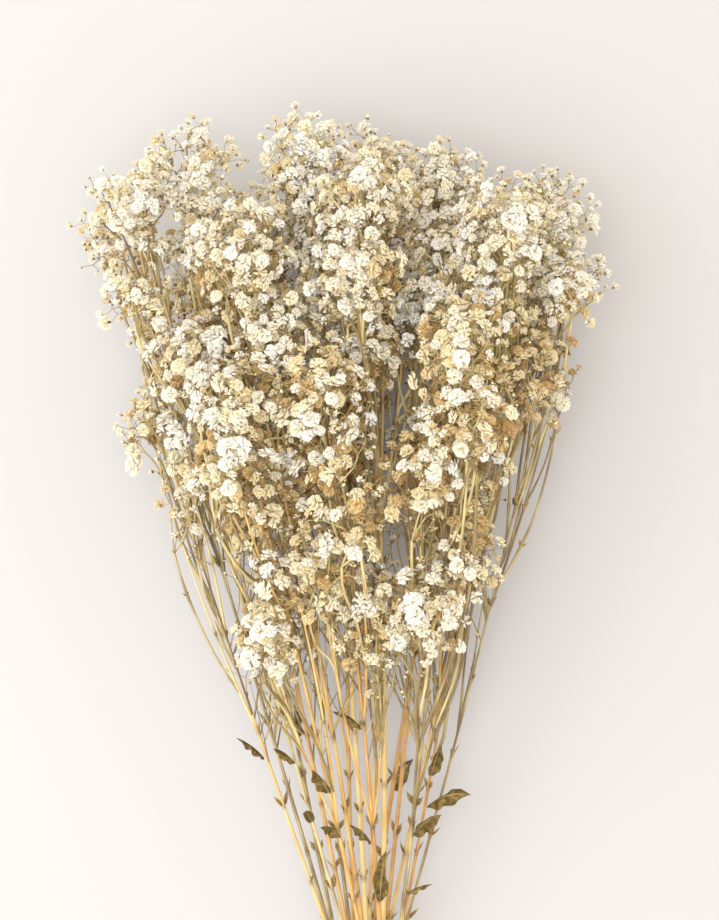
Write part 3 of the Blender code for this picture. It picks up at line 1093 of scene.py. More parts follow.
@dataclass
class Blossom:
    """Sows tufts of florets and buds through the flower space, denser where they show."""

    seed: int = 7
    tries: int = 500
    front_gap: float = 0.0131
    inner_gap: float = 0.0122
    under_gap: float = 0.0155
    under_heights: Span = (0.010, 0.030)
    front_depth: float = 0.016
    window_cover: float = 0.045
    tuft_radius: float = 0.0094
    tuft_height: float = 0.0110
    tuft_counts: tuple[int, int] = (4, 9)
    tuft_outward: float = 0.8
    tuft_upward: Triple = (0.0, 0.60, 0.12)
    tuft_sway: float = 0.22
    least_upward: float = 0.30
    shine_count: float = 5.0
    rise_count: float = 1.5
    packing: float = 0.90
    rim_depth: float = 0.012
    rim_looseness: float = 1.30
    rim_shade: Span = (0.32, 0.56)
    dimming: float = 0.021
    tone_drift: float = 0.09
    tone_sway: float = 0.11
    # Tones of florets deep under others and of those in front, each with a gain high up; between them lies painted
    # shade.
    shaded_tone: Span = (-0.02, 0.32)
    unshaded_tone: Span = (0.72, 0.06)
    edge_dulling: float = 0.16
    shine_tone: float = 0.50
    shine_size: float = 0.22
    inner_cover: float = 0.032
    whole_shares: Triple = (0.12, 0.60, 0.80)
    half_gains: Span = (1.12, 0.86)
    sunk: float = 0.45
    low_size: float = 0.0080
    high_size: float = 0.0066
    low_y: float = 0.08
    high_y: float = 0.25
    size_drift: float = 0.06
    size_spread: float = 0.28
    large_share: float = 0.08
    large_gain: float = 1.18
    large_tone: float = 0.07
    large_cover: float = 0.014
    large_height: float = 0.03
    bud_size: float = 0.0027
    bud_tone: float = 0.60
    fill_size: float = 0.0050
    # Tone of the fillers: a ground, a gain high up, and a gain near the skin, so that deep fillers get painted
    # shade.
    fill_tone: Triple = (0.20, 0.24, 0.26)
    fill_sway: float = 0.10
    fill_most: int = 3
    skin_margin: float = 0.0045
    foot_gap: float = 0.0025
    floor_gap: float = 0.0064
    top_y: float = 0.2960
    highlights: tuple[Patch, ...] = patches(
        (0.044, 0.018, 0.044, 0.28), (0.064, 0.107, 0.038, 0.44), (-0.010, 0.116, 0.030, 0.36),
        (0.011, 0.180, 0.040, 0.34), (-0.060, 0.155, 0.045, 0.14), (-0.030, 0.205, 0.030, 0.20),
        (0.062, 0.176, 0.034, 0.20), (0.116, 0.150, 0.050, -0.42), (-0.087, 0.107, 0.050, 0.10),
        (-0.050, 0.006, 0.042, 0.58), (-0.100, 0.235, 0.050, 0.20), (-0.012, 0.252, 0.052, 0.16),
        (0.100, 0.225, 0.045, 0.10), (0.019, 0.085, 0.036, -0.46))
    # Patches of painted shade: there the deeper florets' tone drops by the strength, so that the depth looks
    # browner.
    shade_patches: tuple[Patch, ...] = patches(
        (0.064, 0.107, 0.048, 0.24), (0.112, 0.160, 0.050, 0.20), (0.019, 0.085, 0.040, 0.14),
        (-0.050, 0.006, 0.046, -0.22), (-0.087, 0.104, 0.042, -0.14), (-0.100, 0.235, 0.052, -0.14),
        (-0.012, 0.252, 0.052, -0.08), (0.105, 0.222, 0.048, -0.12))
    laces: tuple[Patch, ...] = patches(
        (-0.118, 0.205, 0.050, 0.30), (-0.110, 0.090, 0.040, 0.08), (-0.035, 0.045, 0.040, 0.34),
        (0.070, 0.060, 0.030, 0.30), (0.020, 0.225, 0.080, -0.14), (0.095, 0.215, 0.060, -0.14),
        (-0.060, 0.190, 0.050, -0.10))
    windows: tuple[Patch, ...] = patches(
        (0.016, 0.150, 0.026, 0.5), (0.020, 0.075, 0.028, 0.4), (-0.026, 0.050, 0.026, 0.2),
        (0.070, 0.062, 0.020, 0.9), (-0.034, 0.171, 0.014, 0.8), (0.112, 0.245, 0.012, 1.0),
        (-0.114, 0.153, 0.018, 1.2), (-0.0543, 0.2623, 0.013, 1.6))
    clearings: tuple[Patch, ...] = patches(
        (0.030, 0.303, 0.024, 1.0), (0.062, 0.300, 0.028, 1.0), (-0.085, 0.3026, 0.018, 1.0),
        (-0.1484, 0.1962, 0.020, 1.0), (-0.1243, 0.1503, 0.021, 1.0), (-0.1064, 0.0534, 0.022, 1.0))
    luck: Luck = field(init=False)

    def sow(self, space: FlowerSpace) -> list[list[Tuft]]:
        """Sow every cluster.

        Args:
            space: the clusters.

        Returns:
            The tufts of each cluster.
        """
        self.luck = Luck(self.seed)
        places, owners, depths, covers = self.candidates(space)
        gaps = self.gaps(places, depths, covers)
        order = np.argsort(covers + self.luck.uniform(0.0, 0.02, len(covers)))
        tufts: list[list[Tuft]] = [[] for _ in space.rows]
        for at in self.thin_out(places, gaps, order):
            row = int(owners[at])
            tufts[row].append(self.plant(space, row, Vector(places[at]), float(depths[at])))
        return tufts

    def candidates(self, space: FlowerSpace) -> tuple[Array, ...]:
        """Places for tufts, each in its own cluster, with its owner, depth and cover.

        Args:
            space: the clusters.

        Returns:
            The places and their owners, depths and covers.
        """
        found = []
        for centre, radius in zip(space.centres, space.radii):
            ways = self.luck.normal(size=(self.tries, 3))
            ways /= np.linalg.norm(ways, axis=1)[:, None]
            reach = radius * self.luck.uniform(0.0, 1.0, self.tries) ** (1.0 / 3.0)
            found.append((centre + ways * reach[:, None]) * np.array((1.0, space.STRETCH, 1.0)))
        places = np.concatenate(found)
        rows = np.repeat(np.arange(len(space.radii)), self.tries)
        owners, depths, covers = space.survey(places)
        kept = (owners == rows) & (places[:, 2] > self.tuft_radius) & (depths > self.skin_margin)
        return places[kept], owners[kept], depths[kept], covers[kept]

    def gaps(self, places: Array, depths: Array, covers: Array) -> Array:
        """The room that each tuft keeps to the next, with a whole metre where none may grow.

        Args:
            places: the places, one a row.
            depths: how deep each lies below the skin.
            covers: how far each lies below the highest flowers above it.

        Returns:
            A distance for each place.
        """
        inner = np.clip((np.minimum(depths, covers) - self.front_depth) / self.front_depth, 0.0, 1.0)
        gaps = self.front_gap + (self.inner_gap - self.front_gap) * inner
        bottom, top = self.under_heights
        low = np.clip((top - places[:, 2]) / (top - bottom), 0.0, 1.0)
        gaps = np.maximum(gaps, self.front_gap + (self.under_gap - self.front_gap) * low)
        for patch in self.laces:
            gaps *= 1.0 + patch.weights(places)
        for patch in self.windows:
            bare = patch.weights(places) * (covers < self.window_cover)
            gaps = np.where(self.luck.uniform(size=len(gaps)) < bare, 1.0, gaps)
        for patch in self.clearings:
            gaps = np.where(patch.weights(places) > 0.0, 1.0, gaps)
        return gaps

    def thin_out(self, places: Array, gaps: Array, order: Array) -> list[int]:
        """Keep the places that have their room, in the order given.

        Args:
            places: the places, one a row.
            gaps: the room that each needs.
            order: the numbers of the places, the first choice first.

        Returns:
            The numbers of those that are kept.
        """
        kept: list[int] = []
        for at in order:
            if gaps[at] < 0.5 and (
                    not kept or np.min(np.linalg.norm(places[kept] - places[at], axis=1)) >= gaps[at]):
                kept.append(int(at))
        return kept

    def plant(self, space: FlowerSpace, row: int, centre: Vector, depth: float) -> Tuft:
        """Set one tuft.

        Args:
            space: the clusters.
            row: the row of the tuft's own cluster.
            centre: the middle of the tuft.
            depth: how deep the tuft lies below the skin of the flowers.

        Returns:
            The tuft.
        """
        luck = self.luck
        head, step = space.rows[row]
        middle, radius = space.clusters[head][step]
        outward = (centre - middle) / radius
        axis = outward * self.tuft_outward + Vector(self.tuft_upward) + luck.sway() * self.tuft_sway
        axis.y = max(axis.y, self.least_upward)
        axis.normalize()
        foot = centre - axis * self.tuft_height
        foot.z = max(foot.z, self.foot_gap)
        shine = sum(patch.weight(centre) for patch in self.highlights)
        # Painted shade from the shade patches, for the deeper florets of this tuft.
        painted_shade = sum(patch.weight(centre) for patch in self.shade_patches)
        rise = min(1.0, max(0.0, (centre.y - self.low_y) / (self.high_y - self.low_y)))
        least, most = self.tuft_counts
        wanted = luck.pick(least, most + 1) + round(shine * self.shine_count + rise * self.rise_count)
        size = (self.low_size + (self.high_size - self.low_size) * rise) * (1.0 + luck.normal() * self.size_drift)
        rim = depth < self.rim_depth and math.hypot(outward.x, outward.y) > 0.75 * outward.length
        spots = self.spots(centre, axis, max(3, wanted - 2) if rim else wanted, size, rim)
        covers = space.survey(np.array(spots))[2] if spots else []
        edge = rim or (outward.y > 0.5 and depth < self.rim_depth)
        drift = luck.normal() * self.tone_drift
        site = Site(centre, foot, axis, depth, rise, shine, painted_shade, drift, edge, rim)
        seeds = [self.floret(site, spot, size, float(cover)) for spot, cover in zip(spots, covers)]
        seeds.extend(self.filler(site) for _ in range(luck.pick(1, self.fill_most + 1)))
        seeds.extend(self.bud(site) for _ in range(luck.pick(0, 4 if edge else 3)))
        return Tuft(foot, axis, seeds)

    def spots(self, centre: Vector, axis: Vector, wanted: int, size: float, rim: bool) -> list[Vector]:
        """Places for the florets of a tuft that don't crowd each other, further apart on the rim.

        Args:
            centre: the middle of the tuft.
            axis: the way that it faces.
            wanted: how many at most.
            size: the size of its florets.
            rim: whether it is on the outline.

        Returns:
            The places.
        """
        loose = self.rim_looseness if rim else 1.0
        spots: list[Vector] = []
        for _ in range(wanted * 12):
            way = (axis * 0.55 + self.luck.sway() * 0.55).normalized()
            spot = centre + way * self.tuft_radius * loose * self.luck.uniform(0.35, 1.0)
            room = all((spot - other).length > size * self.packing * loose for other in spots)
            clear = all(patch.weight(spot) < 0.15 for patch in self.clearings)
            if room and clear and spot.z > self.floor_gap and spot.y < self.top_y and len(spots) < wanted:
                spots.append(spot)
        return spots

    def beside(self, site: Site, pull: float, sway: float, near: float, far: float) -> tuple[Vector, Vector]:
        """A way that leaves a tuft and a place that lies that way.

        Args:
            site: the tuft.
            pull: how much the way follows the tuft's axis.
            sway: how much chance turns it.
            near: the least distance, in tuft radii.
            far: the greatest distance.

        Returns:
            The way and the place.
        """
        way = (site.axis * pull + self.luck.sway() * sway).normalized()
        place = site.centre + way * self.tuft_radius * self.luck.uniform(near, far)
        place.z = max(place.z, self.floor_gap)
        return way, place

    def bud(self, site: Site) -> Seed:
        """A bud that stands out of a tuft, or on the rim now and then a small floret.

        Args:
            site: the tuft.

        Returns:
            The bud or floret.
        """
        luck = self.luck
        way, place = self.beside(site, 1.0, 0.5, 1.0, 1.45)
        if site.rim and luck.uniform() < 0.5:
            kind, size, tone = Shape.HALF_OPEN.variant(luck), self.fill_size, luck.uniform(*self.rim_shade)
        else:
            kind, size, tone = Shape.BUD.variant(luck), self.bud_size, self.bud_tone
        size *= luck.uniform(0.75, 1.35)
        return Seed(place, way, luck.turn(), size, tone, kind)

    def filler(self, site: Site) -> Seed:
        """A small, half-open floret between the full ones, with painted shade: browner the deeper its tuft lies.

        Args:
            site: the tuft.

        Returns:
            The floret.
        """
        luck = self.luck
        way, place = self.beside(site, 0.5, 0.6, 0.7, 1.3)
        size = self.fill_size * luck.uniform(0.8, 1.25)
        ground, rise, front = self.fill_tone
        # Painted shade: lighter near the skin of the flowers, browner deep inside.
        lit = ground + rise * site.rise + front * math.exp(-site.depth / self.dimming)
        tone = lit + (site.drift - site.painted_shade) + luck.normal() * self.fill_sway
        kind = Shape.HALF_OPEN.variant(luck)
        return Seed(place, way, luck.turn(), size, min(1.0, max(0.05, tone)), kind)

    def floret(self, site: Site, spot: Vector, size: float, cover: float) -> Seed:
        """One floret of a tuft, larger where it shows, with painted shade: lighter in front, browner the deeper it
        lies.

        Args:
            site: the tuft.
            spot: the middle of the floret.
            size: the size that florets have there.
            cover: how far it lies below the highest flowers.

        Returns:
            The floret.
        """
        luck = self.luck
        axis = ((spot - site.foot).normalized() + luck.sway() * 0.30).normalized()
        # Painted shade: the more flowers lie above the floret, the lower its tone and the browner it looks.
        front = math.exp(-max(0.0, cover) / self.dimming)
        shown_shine = site.shine * front
        (shaded, shaded_rise), (unshaded, unshaded_rise) = self.shaded_tone, self.unshaded_tone
        shaded += shaded_rise * site.rise - site.painted_shade
        unshaded += unshaded_rise * site.rise - self.edge_dulling * site.edge * luck.uniform()
        lit = shaded + (unshaded - shaded) * front + self.shine_tone * shown_shine
        tone = lit + site.drift + luck.normal() * self.tone_sway
        size = size * (1.0 + luck.uniform(-1.0, 1.0) * self.size_spread) * (1.0 + self.shine_size * shown_shine)
        if cover < self.large_cover and spot.z > self.large_height and luck.uniform() < self.large_share:
            size *= self.large_gain
            tone += self.large_tone
        inside = cover >= self.inner_cover
        whole = self.whole_shares[0 if inside else 1 if site.edge else 2]
        kind = Shape.FLORET if luck.uniform() < whole else Shape.HALF_OPEN
        if kind is Shape.HALF_OPEN:
            size *= self.half_gains[0 if inside else 1]
        shape = kind.variant(luck)
        return Seed(spot - axis * size * self.sunk, axis, luck.turn(), size, min(1.0, max(0.02, tone)), shape)


@dataclass(frozen=True)
class Stalk:
    """The line to one cluster: along its stem up to a fork, and then along a branch.

    fork, end and stop are distances from the tie: where the branch leaves, where the middle of the
    cluster lies and where the stalk's own wood ends. offset is what lies between stem and cluster there.
    """

    line: BunchLine
    spray: Spray
    fork: float
    end: float
    stop: float
    offset: Vector
    sweep: float

    def point(self, place: float) -> Vector:
        """A point of the stalk.

        Args:
            place: how far past the tie along Y.

        Returns:
            The point.
        """
        share = max(0.0, (place - self.fork) / (self.end - self.fork))
        out = 1.0 - (1.0 - min(1.0, share)) ** self.sweep
        return self.line.stem_point(self.spray, place) + self.offset * out

    def heading(self, place: float) -> Vector:
        """The way that the stalk runs."""
        return (self.point(place + MM) - self.point(place)).normalized()

    def path(self, spacing: float) -> list[Vector]:
        """The points of the branch, from its fork to where its last twigs part."""
        count = max(6, round((self.stop - self.fork) / spacing))
        return [self.point(self.fork + (self.stop - self.fork) * part / count) for part in range(count + 1)]


@dataclass
class Plant:
    """Grows a stem with its branches and twigs, up to the foot of every floret."""

    line: BunchLine
    first_seed: int = 100
    stem_shade: Span = (0.06, 0.92)
    stem_girth: Span = (0.70, 1.0)
    outer_slimness: float = 0.28
    stem_taper: float = 0.60
    branch_radius: float = 0.00084
    branch_taper: float = 0.38
    branch_length: float = 0.064
    branch_length_step: float = 0.028
    lowest_fork: float = 0.130
    branch_sweep: float = 2.2
    stalk_share: float = 0.50
    point_step: float = 0.007
    joint_step: float = 0.042
    joint_swelling: float = 0.26
    joint_length: float = 0.0020
    joint_mark: float = 0.8
    twig_base: float = 0.00034
    twig_gain: float = 0.0042
    twig_wave: float = 0.0011
    twig_steps: int = 7
    twig_shade: Span = (0.02, 0.44)
    twig_floor: float = 0.0015
    twig_room: Span = (0.015, 0.080)
    twig_slope: Span = (1.3, 2.2)
    twig_gather: Span = (1.2, 2.0)
    search_step: float = 0.004
    group_most: int = 3
    lowest_twig: float = 0.150
    outer_x: float = 0.060
    outer_reach: float = 2.6
    outer_bow: float = 0.28
    floor_clearance: float = 0.0010
    pedicel_radius: float = 0.00024
    pedicel_growth: float = 0.36
    stem_bract: float = 0.0076
    branch_bract: float = 0.0056
    group_bract: float = 0.0032
    twig_bract: float = 0.0030
    fork_bract: float = 0.0022
    bract_tone: float = 0.06
    sprigs: int = 10
    sprig_most: int = 5
    sprig_floor: float = 0.003
    sprig_middle: float = 0.03
    sprig_inward: float = 0.7
    sprig_inward_y: float = 0.02
    sprig_shortening: float = 0.42
    sprig_thinning: float = 0.65
    sprig_low: float = 0.165
    sprig_high: float = 0.30
    sprig_spread: Span = (0.20, 0.62)
    sprig_length: Span = (0.030, 0.100)
    sprig_shade: Span = (0.0, 0.36)
    sprig_reach: Span = (0.008, 0.026)
    sprig_floret: Span = (0.0045, 0.0065)
    sprig_bud: Span = (0.0018, 0.0030)
    strands: list[Strand] = field(default_factory=list)
    bracts: list[Seed] = field(default_factory=list)
    luck: Luck = field(init=False)

    def grow(self, index: int, space: FlowerSpace, tufts: list[list[Tuft]]) -> None:
        """Grow one stem.

        Args:
            index: the number of the stem, from nothing.
            space: the clusters of all heads.
            tufts: the tufts of each of this head's clusters, from the top one down.
        """
        self.strands, self.bracts = [], []
        self.luck = luck = Luck(self.first_seed + index)
        clusters = space.clusters[index]
        shade = luck.uniform(*self.stem_shade)
        slim = min(1.0, abs(clusters[0][0].x) / 0.12)
        girth = luck.uniform(*self.stem_girth) * (1.0 - self.outer_slimness * slim)
        stalks = [self.stalk(SPRAYS[index], step, middle, radius * space.STRETCH)
                  for step, (middle, radius) in enumerate(clusters)]
        self.leader(index, stalks, shade, girth)
        for step, stalk in enumerate(stalks):
            if step:
                self.branch(stalk.path(self.point_step), shade - 0.12)
            for group in self.parted(tufts[step]):
                self.dress(stalk, group)
        highest = min(self.sprig_high, *(stalk.end for stalk in stalks))
        for _ in range(self.sprigs):
            self.sprig(stalks[0], luck.uniform(self.sprig_low, highest))

    def stalk(self, spray: Spray, step: int, middle: Vector, half: float) -> Stalk:
        """The stalk to a cluster, which for the top one is the stem itself.

        Args:
            spray: the stem.
            step: the number of the cluster, from the top.
            middle: the cluster's middle.
            half: half of its length.

        Returns:
            The stalk.
        """
        end = middle.y - self.line.tie[1]
        fork = max(end - self.branch_length - self.branch_length_step * step, self.lowest_fork) if step else 0.0
        offset = middle - self.line.stem_point(spray, end) if step else Vector()
        return Stalk(self.line, spray, fork, end, end - self.stalk_share * half, offset, self.branch_sweep)

    def leader(self, index: int, stalks: list[Stalk], shade: float, girth: float) -> None:
        """Add the main stem, with a swollen joint at each fork and at even steps below.

        Args:
            index: the number of the stem, from nothing.
            stalks: the stalks to its clusters.
            shade: its shade.
            girth: its share of the full thickness.
        """
        spray, stop = SPRAYS[index], stalks[0].stop
        start, reach = self.line.cut_end(index), self.line.reach(spray)
        joints = sorted(stalk.fork for stalk in stalks[1:])
        place = joints[0] - self.joint_step
        while place > start + self.joint_step / 2.0:
            joints.append(place)
            place -= self.joint_step * self.luck.uniform(0.85, 1.25)
        places = set(np.linspace(start, stop, round((stop - start) / self.point_step)))
        for joint in joints:
            places.update(joint + self.joint_length * share for share in (-2.0, -1.0, -0.4, 0.4, 1.0, 2.0))
        places = sorted(place for place in places if start <= place <= stop)
        marks = [max(math.exp(-((place - joint) / self.joint_length) ** 2) for joint in joints) for place in places]
        radii = [self.thickness(girth, place / reach) * (1.0 + self.joint_swelling * near)
                 for place, near in zip(places, marks)]
        marks[0] = 0.6
        self.strands.append(Strand([self.line.stem_point(spray, place) for place in places], radii, shade, marks))
        for joint in joints:
            if joint > 0.03:
                foot, heading = self.line.stem_point(spray, joint), self.line.heading(spray, joint)
                self.add_bracts(foot, heading, self.thickness(girth, joint / reach), self.stem_bract)

    def thickness(self, girth: float, share: float) -> float:
        """The radius of the main stem at a share of its way from the tie to its top."""
        return girth * STEM_RADIUS * (1.0 - self.stem_taper * max(0.0, share))

    def branch(self, path: list[Vector], shade: float) -> None:
        """Add a side branch along its stalk's path, thick where it leaves the stem.

        Args:
            path: its points.
            shade: its shade.
        """
        last = len(path) - 1
        middle = last // 2
        radii = [self.branch_radius * (1.0 - self.branch_taper * part / last) for part in range(last + 1)]
        radii[0] *= 1.35
        radii[middle] *= 1.0 + self.joint_swelling
        marks = [self.joint_mark if part in (0, middle) else 0.0 for part in range(last + 1)]
        self.strands.append(Strand(path, radii, shade, marks))
        heading = (path[middle + 1] - path[middle]).normalized()
        self.add_bracts(path[middle], heading, radii[middle], self.branch_bract)

    def parted(self, tufts: list[Tuft]) -> list[list[Tuft]]:
        """Split tufts into groups of near neighbours, each of which one twig carries.

        Args:
            tufts: the tufts of one cluster.

        Returns:
            The groups.
        """
        if len(tufts) <= self.group_most:
            return [tufts] if tufts else []
        order = self.ordered(np.array([tuft.foot for tuft in tufts]))
        half = len(tufts) // 2
        return self.parted([tufts[at] for at in order[:half]]) + self.parted([tufts[at] for at in order[half:]])

    def ordered(self, feet: Array) -> Array:
        """The order of places along the line on which they lie furthest apart."""
        spread = feet - feet.mean(axis=0)
        return np.argsort(spread @ np.linalg.svd(spread, full_matrices=False)[2][0])

    def dress(self, stalk: Stalk, group: list[Tuft]) -> None:
        """Join a few tufts to their stalk by a twig that leaves low enough to rise to them.

        Args:
            stalk: the stalk.
            group: the tufts.
        """
        luck = self.luck
        feet = [tuft.foot for tuft in group]
        centre = sum(feet, Vector()) / len(feet)
        axis = sum((tuft.axis for tuft in group), Vector()).normalized()
        reach = max((foot - centre).length for foot in feet)
        end = centre - axis * reach * luck.uniform(*self.twig_gather) if len(group) > 1 else centre
        end.z = max(end.z, self.twig_floor)
        start, heading, outer = self.leave(stalk, end)
        away = end - start
        way = (heading * 0.8 + away.normalized() * 0.6).normalized()
        if outer:
            way = (way + Vector((math.copysign(self.outer_bow, outer), 0.0, 0.0))).normalized()
        arrive = (axis * 0.5 + away.normalized()).normalized()
        shade = luck.uniform(*self.twig_shade)
        last = self.twig_size(max(1, sum(len(tuft.seeds) for tuft in group)))
        size = max(last, self.twig_base + self.twig_gain * away.length)
        points = self.curve(start, way, end, arrive, self.twig_steps)
        bow, phase = luck.sway() * self.twig_wave, luck.turn()
        node = luck.pick(2, self.twig_steps - 1)
        radii = []
        for step, point in enumerate(points):
            share = step / self.twig_steps
            point += bow * math.sin(math.pi * share) * math.sin(phase + 7.0 * share)
            point.z = max(point.z, self.twig_floor)
            radii.append((size + (last - size) * share) * (1.3 if step == node else 1.0))
        marks = [self.joint_mark if step in (0, node) else 0.0 for step in range(len(points))]
        self.strands.append(Strand(points, radii, shade, marks))
        self.add_bracts(points[node], (points[node + 1] - points[node]).normalized(), radii[node], self.twig_bract)
        if len(group) > 1:
            self.add_bracts(end, arrive, last, self.group_bract)
        for tuft in group:
            if tuft.seeds:
                self.reach_tuft(end, arrive, tuft, shade, len(group) > 1)

    def leave(self, stalk: Stalk, end: Vector) -> tuple[Vector, Vector, float]:
        """Find where a twig leaves its stalk.

        Args:
            stalk: the stalk that carries it.
            end: where the twig goes.

        Returns:
            The place, the way that the stalk runs there, and for a twig at the side of the bunch the side
            that it bows to, which is nothing for all others.
        """
        room, slope = self.luck.uniform(*self.twig_room), self.luck.uniform(*self.twig_slope)
        place = stalk.stop
        beside = stalk.point(place).x
        outer = beside if abs(beside) > self.outer_x and (end.x - beside) * beside > 0.0 else 0.0
        slope *= self.outer_reach if outer else 1.0
        while place > self.lowest_twig:
            heading = stalk.heading(place)
            away = end - stalk.point(place)
            rise = away.dot(heading)
            if rise > room + slope * (away - heading * rise).length:
                break
            place -= self.search_step
        return stalk.point(place), stalk.heading(place), outer

    def reach_tuft(self, start: Vector, heading: Vector, tuft: Tuft, shade: float, apart: bool) -> None:
        """Lead a twig from a fork to one of its tufts, and on to the florets.

        Args:
            start: the fork.
            heading: the way that the twig below it runs.
            tuft: the tuft.
            shade: the shade of the twig.
            apart: whether the tuft lies away from the fork.
        """
        if apart:
            away = (tuft.foot - start).normalized()
            size = self.twig_size(len(tuft.seeds))
            way, arrive = (heading * 0.3 + away).normalized(), (tuft.axis * 0.6 + away).normalized()
            self.strand(start, way, tuft.foot, arrive, size * 1.15, size, 3, shade)
            heading = arrive
        self.fork(tuft.foot, heading, tuft.seeds, shade)

    def sprig(self, stalk: Stalk, place: float) -> None:
        """Add a side twig that leaves at a wide angle and forks to a few buds or small florets.

        Args:
            stalk: the stalk that it leaves.
            place: how far past the tie it does.
        """
        luck = self.luck
        start, heading = stalk.point(place), stalk.heading(place)
        turn = luck.turn()
        aside = Vector((math.cos(turn), 0.0, 0.5 * math.sin(turn)))
        inward = 1.0 if start.y < self.sprig_inward_y else self.sprig_inward
        if start.x * aside.x > 0.0 and abs(start.x) > self.sprig_middle and luck.uniform() < inward:
            aside.x = -aside.x
        if start.z < self.sprig_middle:
            aside.z = abs(aside.z)
        way = (heading + aside * luck.uniform(*self.sprig_spread)).normalized()
        length = luck.uniform(*self.sprig_length) * (self.sprig_shortening if start.x * aside.x > 0.0 else 1.0)
        foot = start + way * length
        foot.z = max(foot.z, self.sprig_floor)
        seeds = [self.sprig_seed(foot, heading * 0.8 + way * 0.4) for _ in range(luck.pick(1, self.sprig_most + 1))]
        self.bracts.extend(seeds)
        size = self.twig_base + self.twig_gain * length
        shade = luck.uniform(*self.sprig_shade)
        arrive = (heading + way * 0.6).normalized()
        last = size * self.sprig_thinning
        self.strand(start, way, foot, arrive, size, last, 5, shade)
        self.add_bracts(foot, arrive, last, self.twig_bract)
        self.fork(foot, arrive, seeds, shade)

    def sprig_seed(self, foot: Vector, ahead: Vector) -> Seed:
        """A bud or small floret at the end of a side twig.

        Args:
            foot: the end of the side twig.
            ahead: the way on from there.

        Returns:
            The bud or floret.
        """
        luck = self.luck
        axis = (ahead + luck.sway() * 0.45).normalized()
        spot = foot + axis * luck.uniform(*self.sprig_reach)
        spot.z = max(spot.z, 0.004)
        kind, sizes = (Shape.HALF_OPEN, self.sprig_floret) if luck.uniform() < 0.35 else (Shape.BUD, self.sprig_bud)
        shape, size = kind.variant(luck), luck.uniform(*sizes)
        return Seed(spot, axis, luck.turn(), size, 0.5, shape)

    def twig_size(self, count: int) -> float:
        """The radius of a twig that carries a number of florets."""
        return self.pedicel_radius * count ** self.pedicel_growth

    def fork(self, start: Vector, heading: Vector, members: list[Seed], shade: float) -> None:
        """Grow a twig and what it carries, fork by fork.

        Args:
            start: where the twig starts.
            heading: the way that it leaves.
            members: what it carries.
            shade: its shade.
        """
        luck, count = self.luck, len(members)
        size = self.twig_size(count)
        if count == 1:
            self.strand(start, heading, members[0].foot, members[0].axis, size, size * 0.9, 2, shade)
            return
        feet = np.array([seed.foot for seed in members])
        toward = Vector(feet.mean(axis=0)) - start
        share = luck.uniform(0.38, 0.55) if count > 2 else luck.uniform(0.5, 0.68)
        node = start + toward * share + luck.sway() * toward.length * 0.05
        way = (toward.normalized() + heading * 0.35).normalized()
        self.strand(start, heading, node, way, size, size * 0.92, 2, shade)
        if count > 2 and luck.uniform() < 0.35:
            self.add_bracts(node, way, size, self.fork_bract)
        order = self.ordered(feet)
        cut = min(count - 1, max(1, round(count * luck.uniform(0.36, 0.64))))
        for side in (order[:cut], order[cut:]):
            self.fork(node, way, [members[at] for at in side], shade)

    def strand(self, start: Vector, heading: Vector, end: Vector, way: Vector, first: float, last: float,
               steps: int, shade: float) -> None:
        """Add a smooth twig between two points, with the way that it runs at each.

        Args:
            start: the first point.
            heading: the way that the twig leaves it.
            end: the last point.
            way: the way that the twig reaches it.
            first: the radius at the start.
            last: the radius at the end.
            steps: how many parts it has.
            shade: its shade.
        """
        radii = [first + (last - first) * step / steps for step in range(steps + 1)]
        points = self.curve(start, heading, end, way, steps)
        self.strands.append(Strand(points, radii, shade, [0.5] + [0.0] * steps))

    def curve(self, start: Vector, heading: Vector, end: Vector, way: Vector, steps: int) -> list[Vector]:
        """Points on a smooth line that leaves one point in a direction and reaches another in one.

        Args:
            start: the first point.
            heading: the way that the line leaves it.
            end: the last point.
            way: the way that the line reaches it.
            steps: how many parts it has.

        Returns:
            The points.
        """
        span = (end - start).length
        points = []
        for step in range(steps + 1):
            t = step / steps
            leaving, arriving = 2.0 * t ** 3 - 3.0 * t ** 2 + 1.0, -2.0 * t ** 3 + 3.0 * t ** 2
            out, back = t ** 3 - 2.0 * t ** 2 + t, t ** 3 - t ** 2
            point = start * leaving + heading * (span * out) + end * arriving + way * (span * back)
            point.z = max(point.z, self.floor_clearance)
            points.append(point)
        return points

    def add_bracts(self, foot: Vector, heading: Vector, thick: float, size: float) -> None:
        """Add a pair of small dry scales, one on each side of a joint.

        Args:
            foot: the middle of the joint.
            heading: the way that the stem runs.
            thick: the stem's radius.
            size: the length of a scale.
        """
        luck = self.luck
        side = heading.orthogonal().normalized()
        side.rotate(Quaternion(heading, luck.turn()))
        for way in (side, -side):
            axis = (heading + way * luck.uniform(0.35, 0.9)).normalized()
            length = size * luck.uniform(0.7, 1.4)
            place = foot + way * thick * 0.7
            if place.z + axis.z * length < self.floor_clearance:
                axis.z = abs(axis.z)
            spin = luck.turn()
            self.bracts.append(Seed(place, axis, spin, length, self.bract_tone, Shape.BRACT.variant(luck)))


@dataclass(frozen=True)
class Leaf:
    """A dried leaf on a stem: which stem, where along it, and how the leaf stands and curls.

    around is the angle about the stem, in degrees, with 0 to the right and 90 up. rise is the angle
    between the leaf and the stem, and curl the angle that the blade bends through.
    """

    stem: int
    y: float
    around: float
    rise: float
    length: float
    width: float
    curl: float


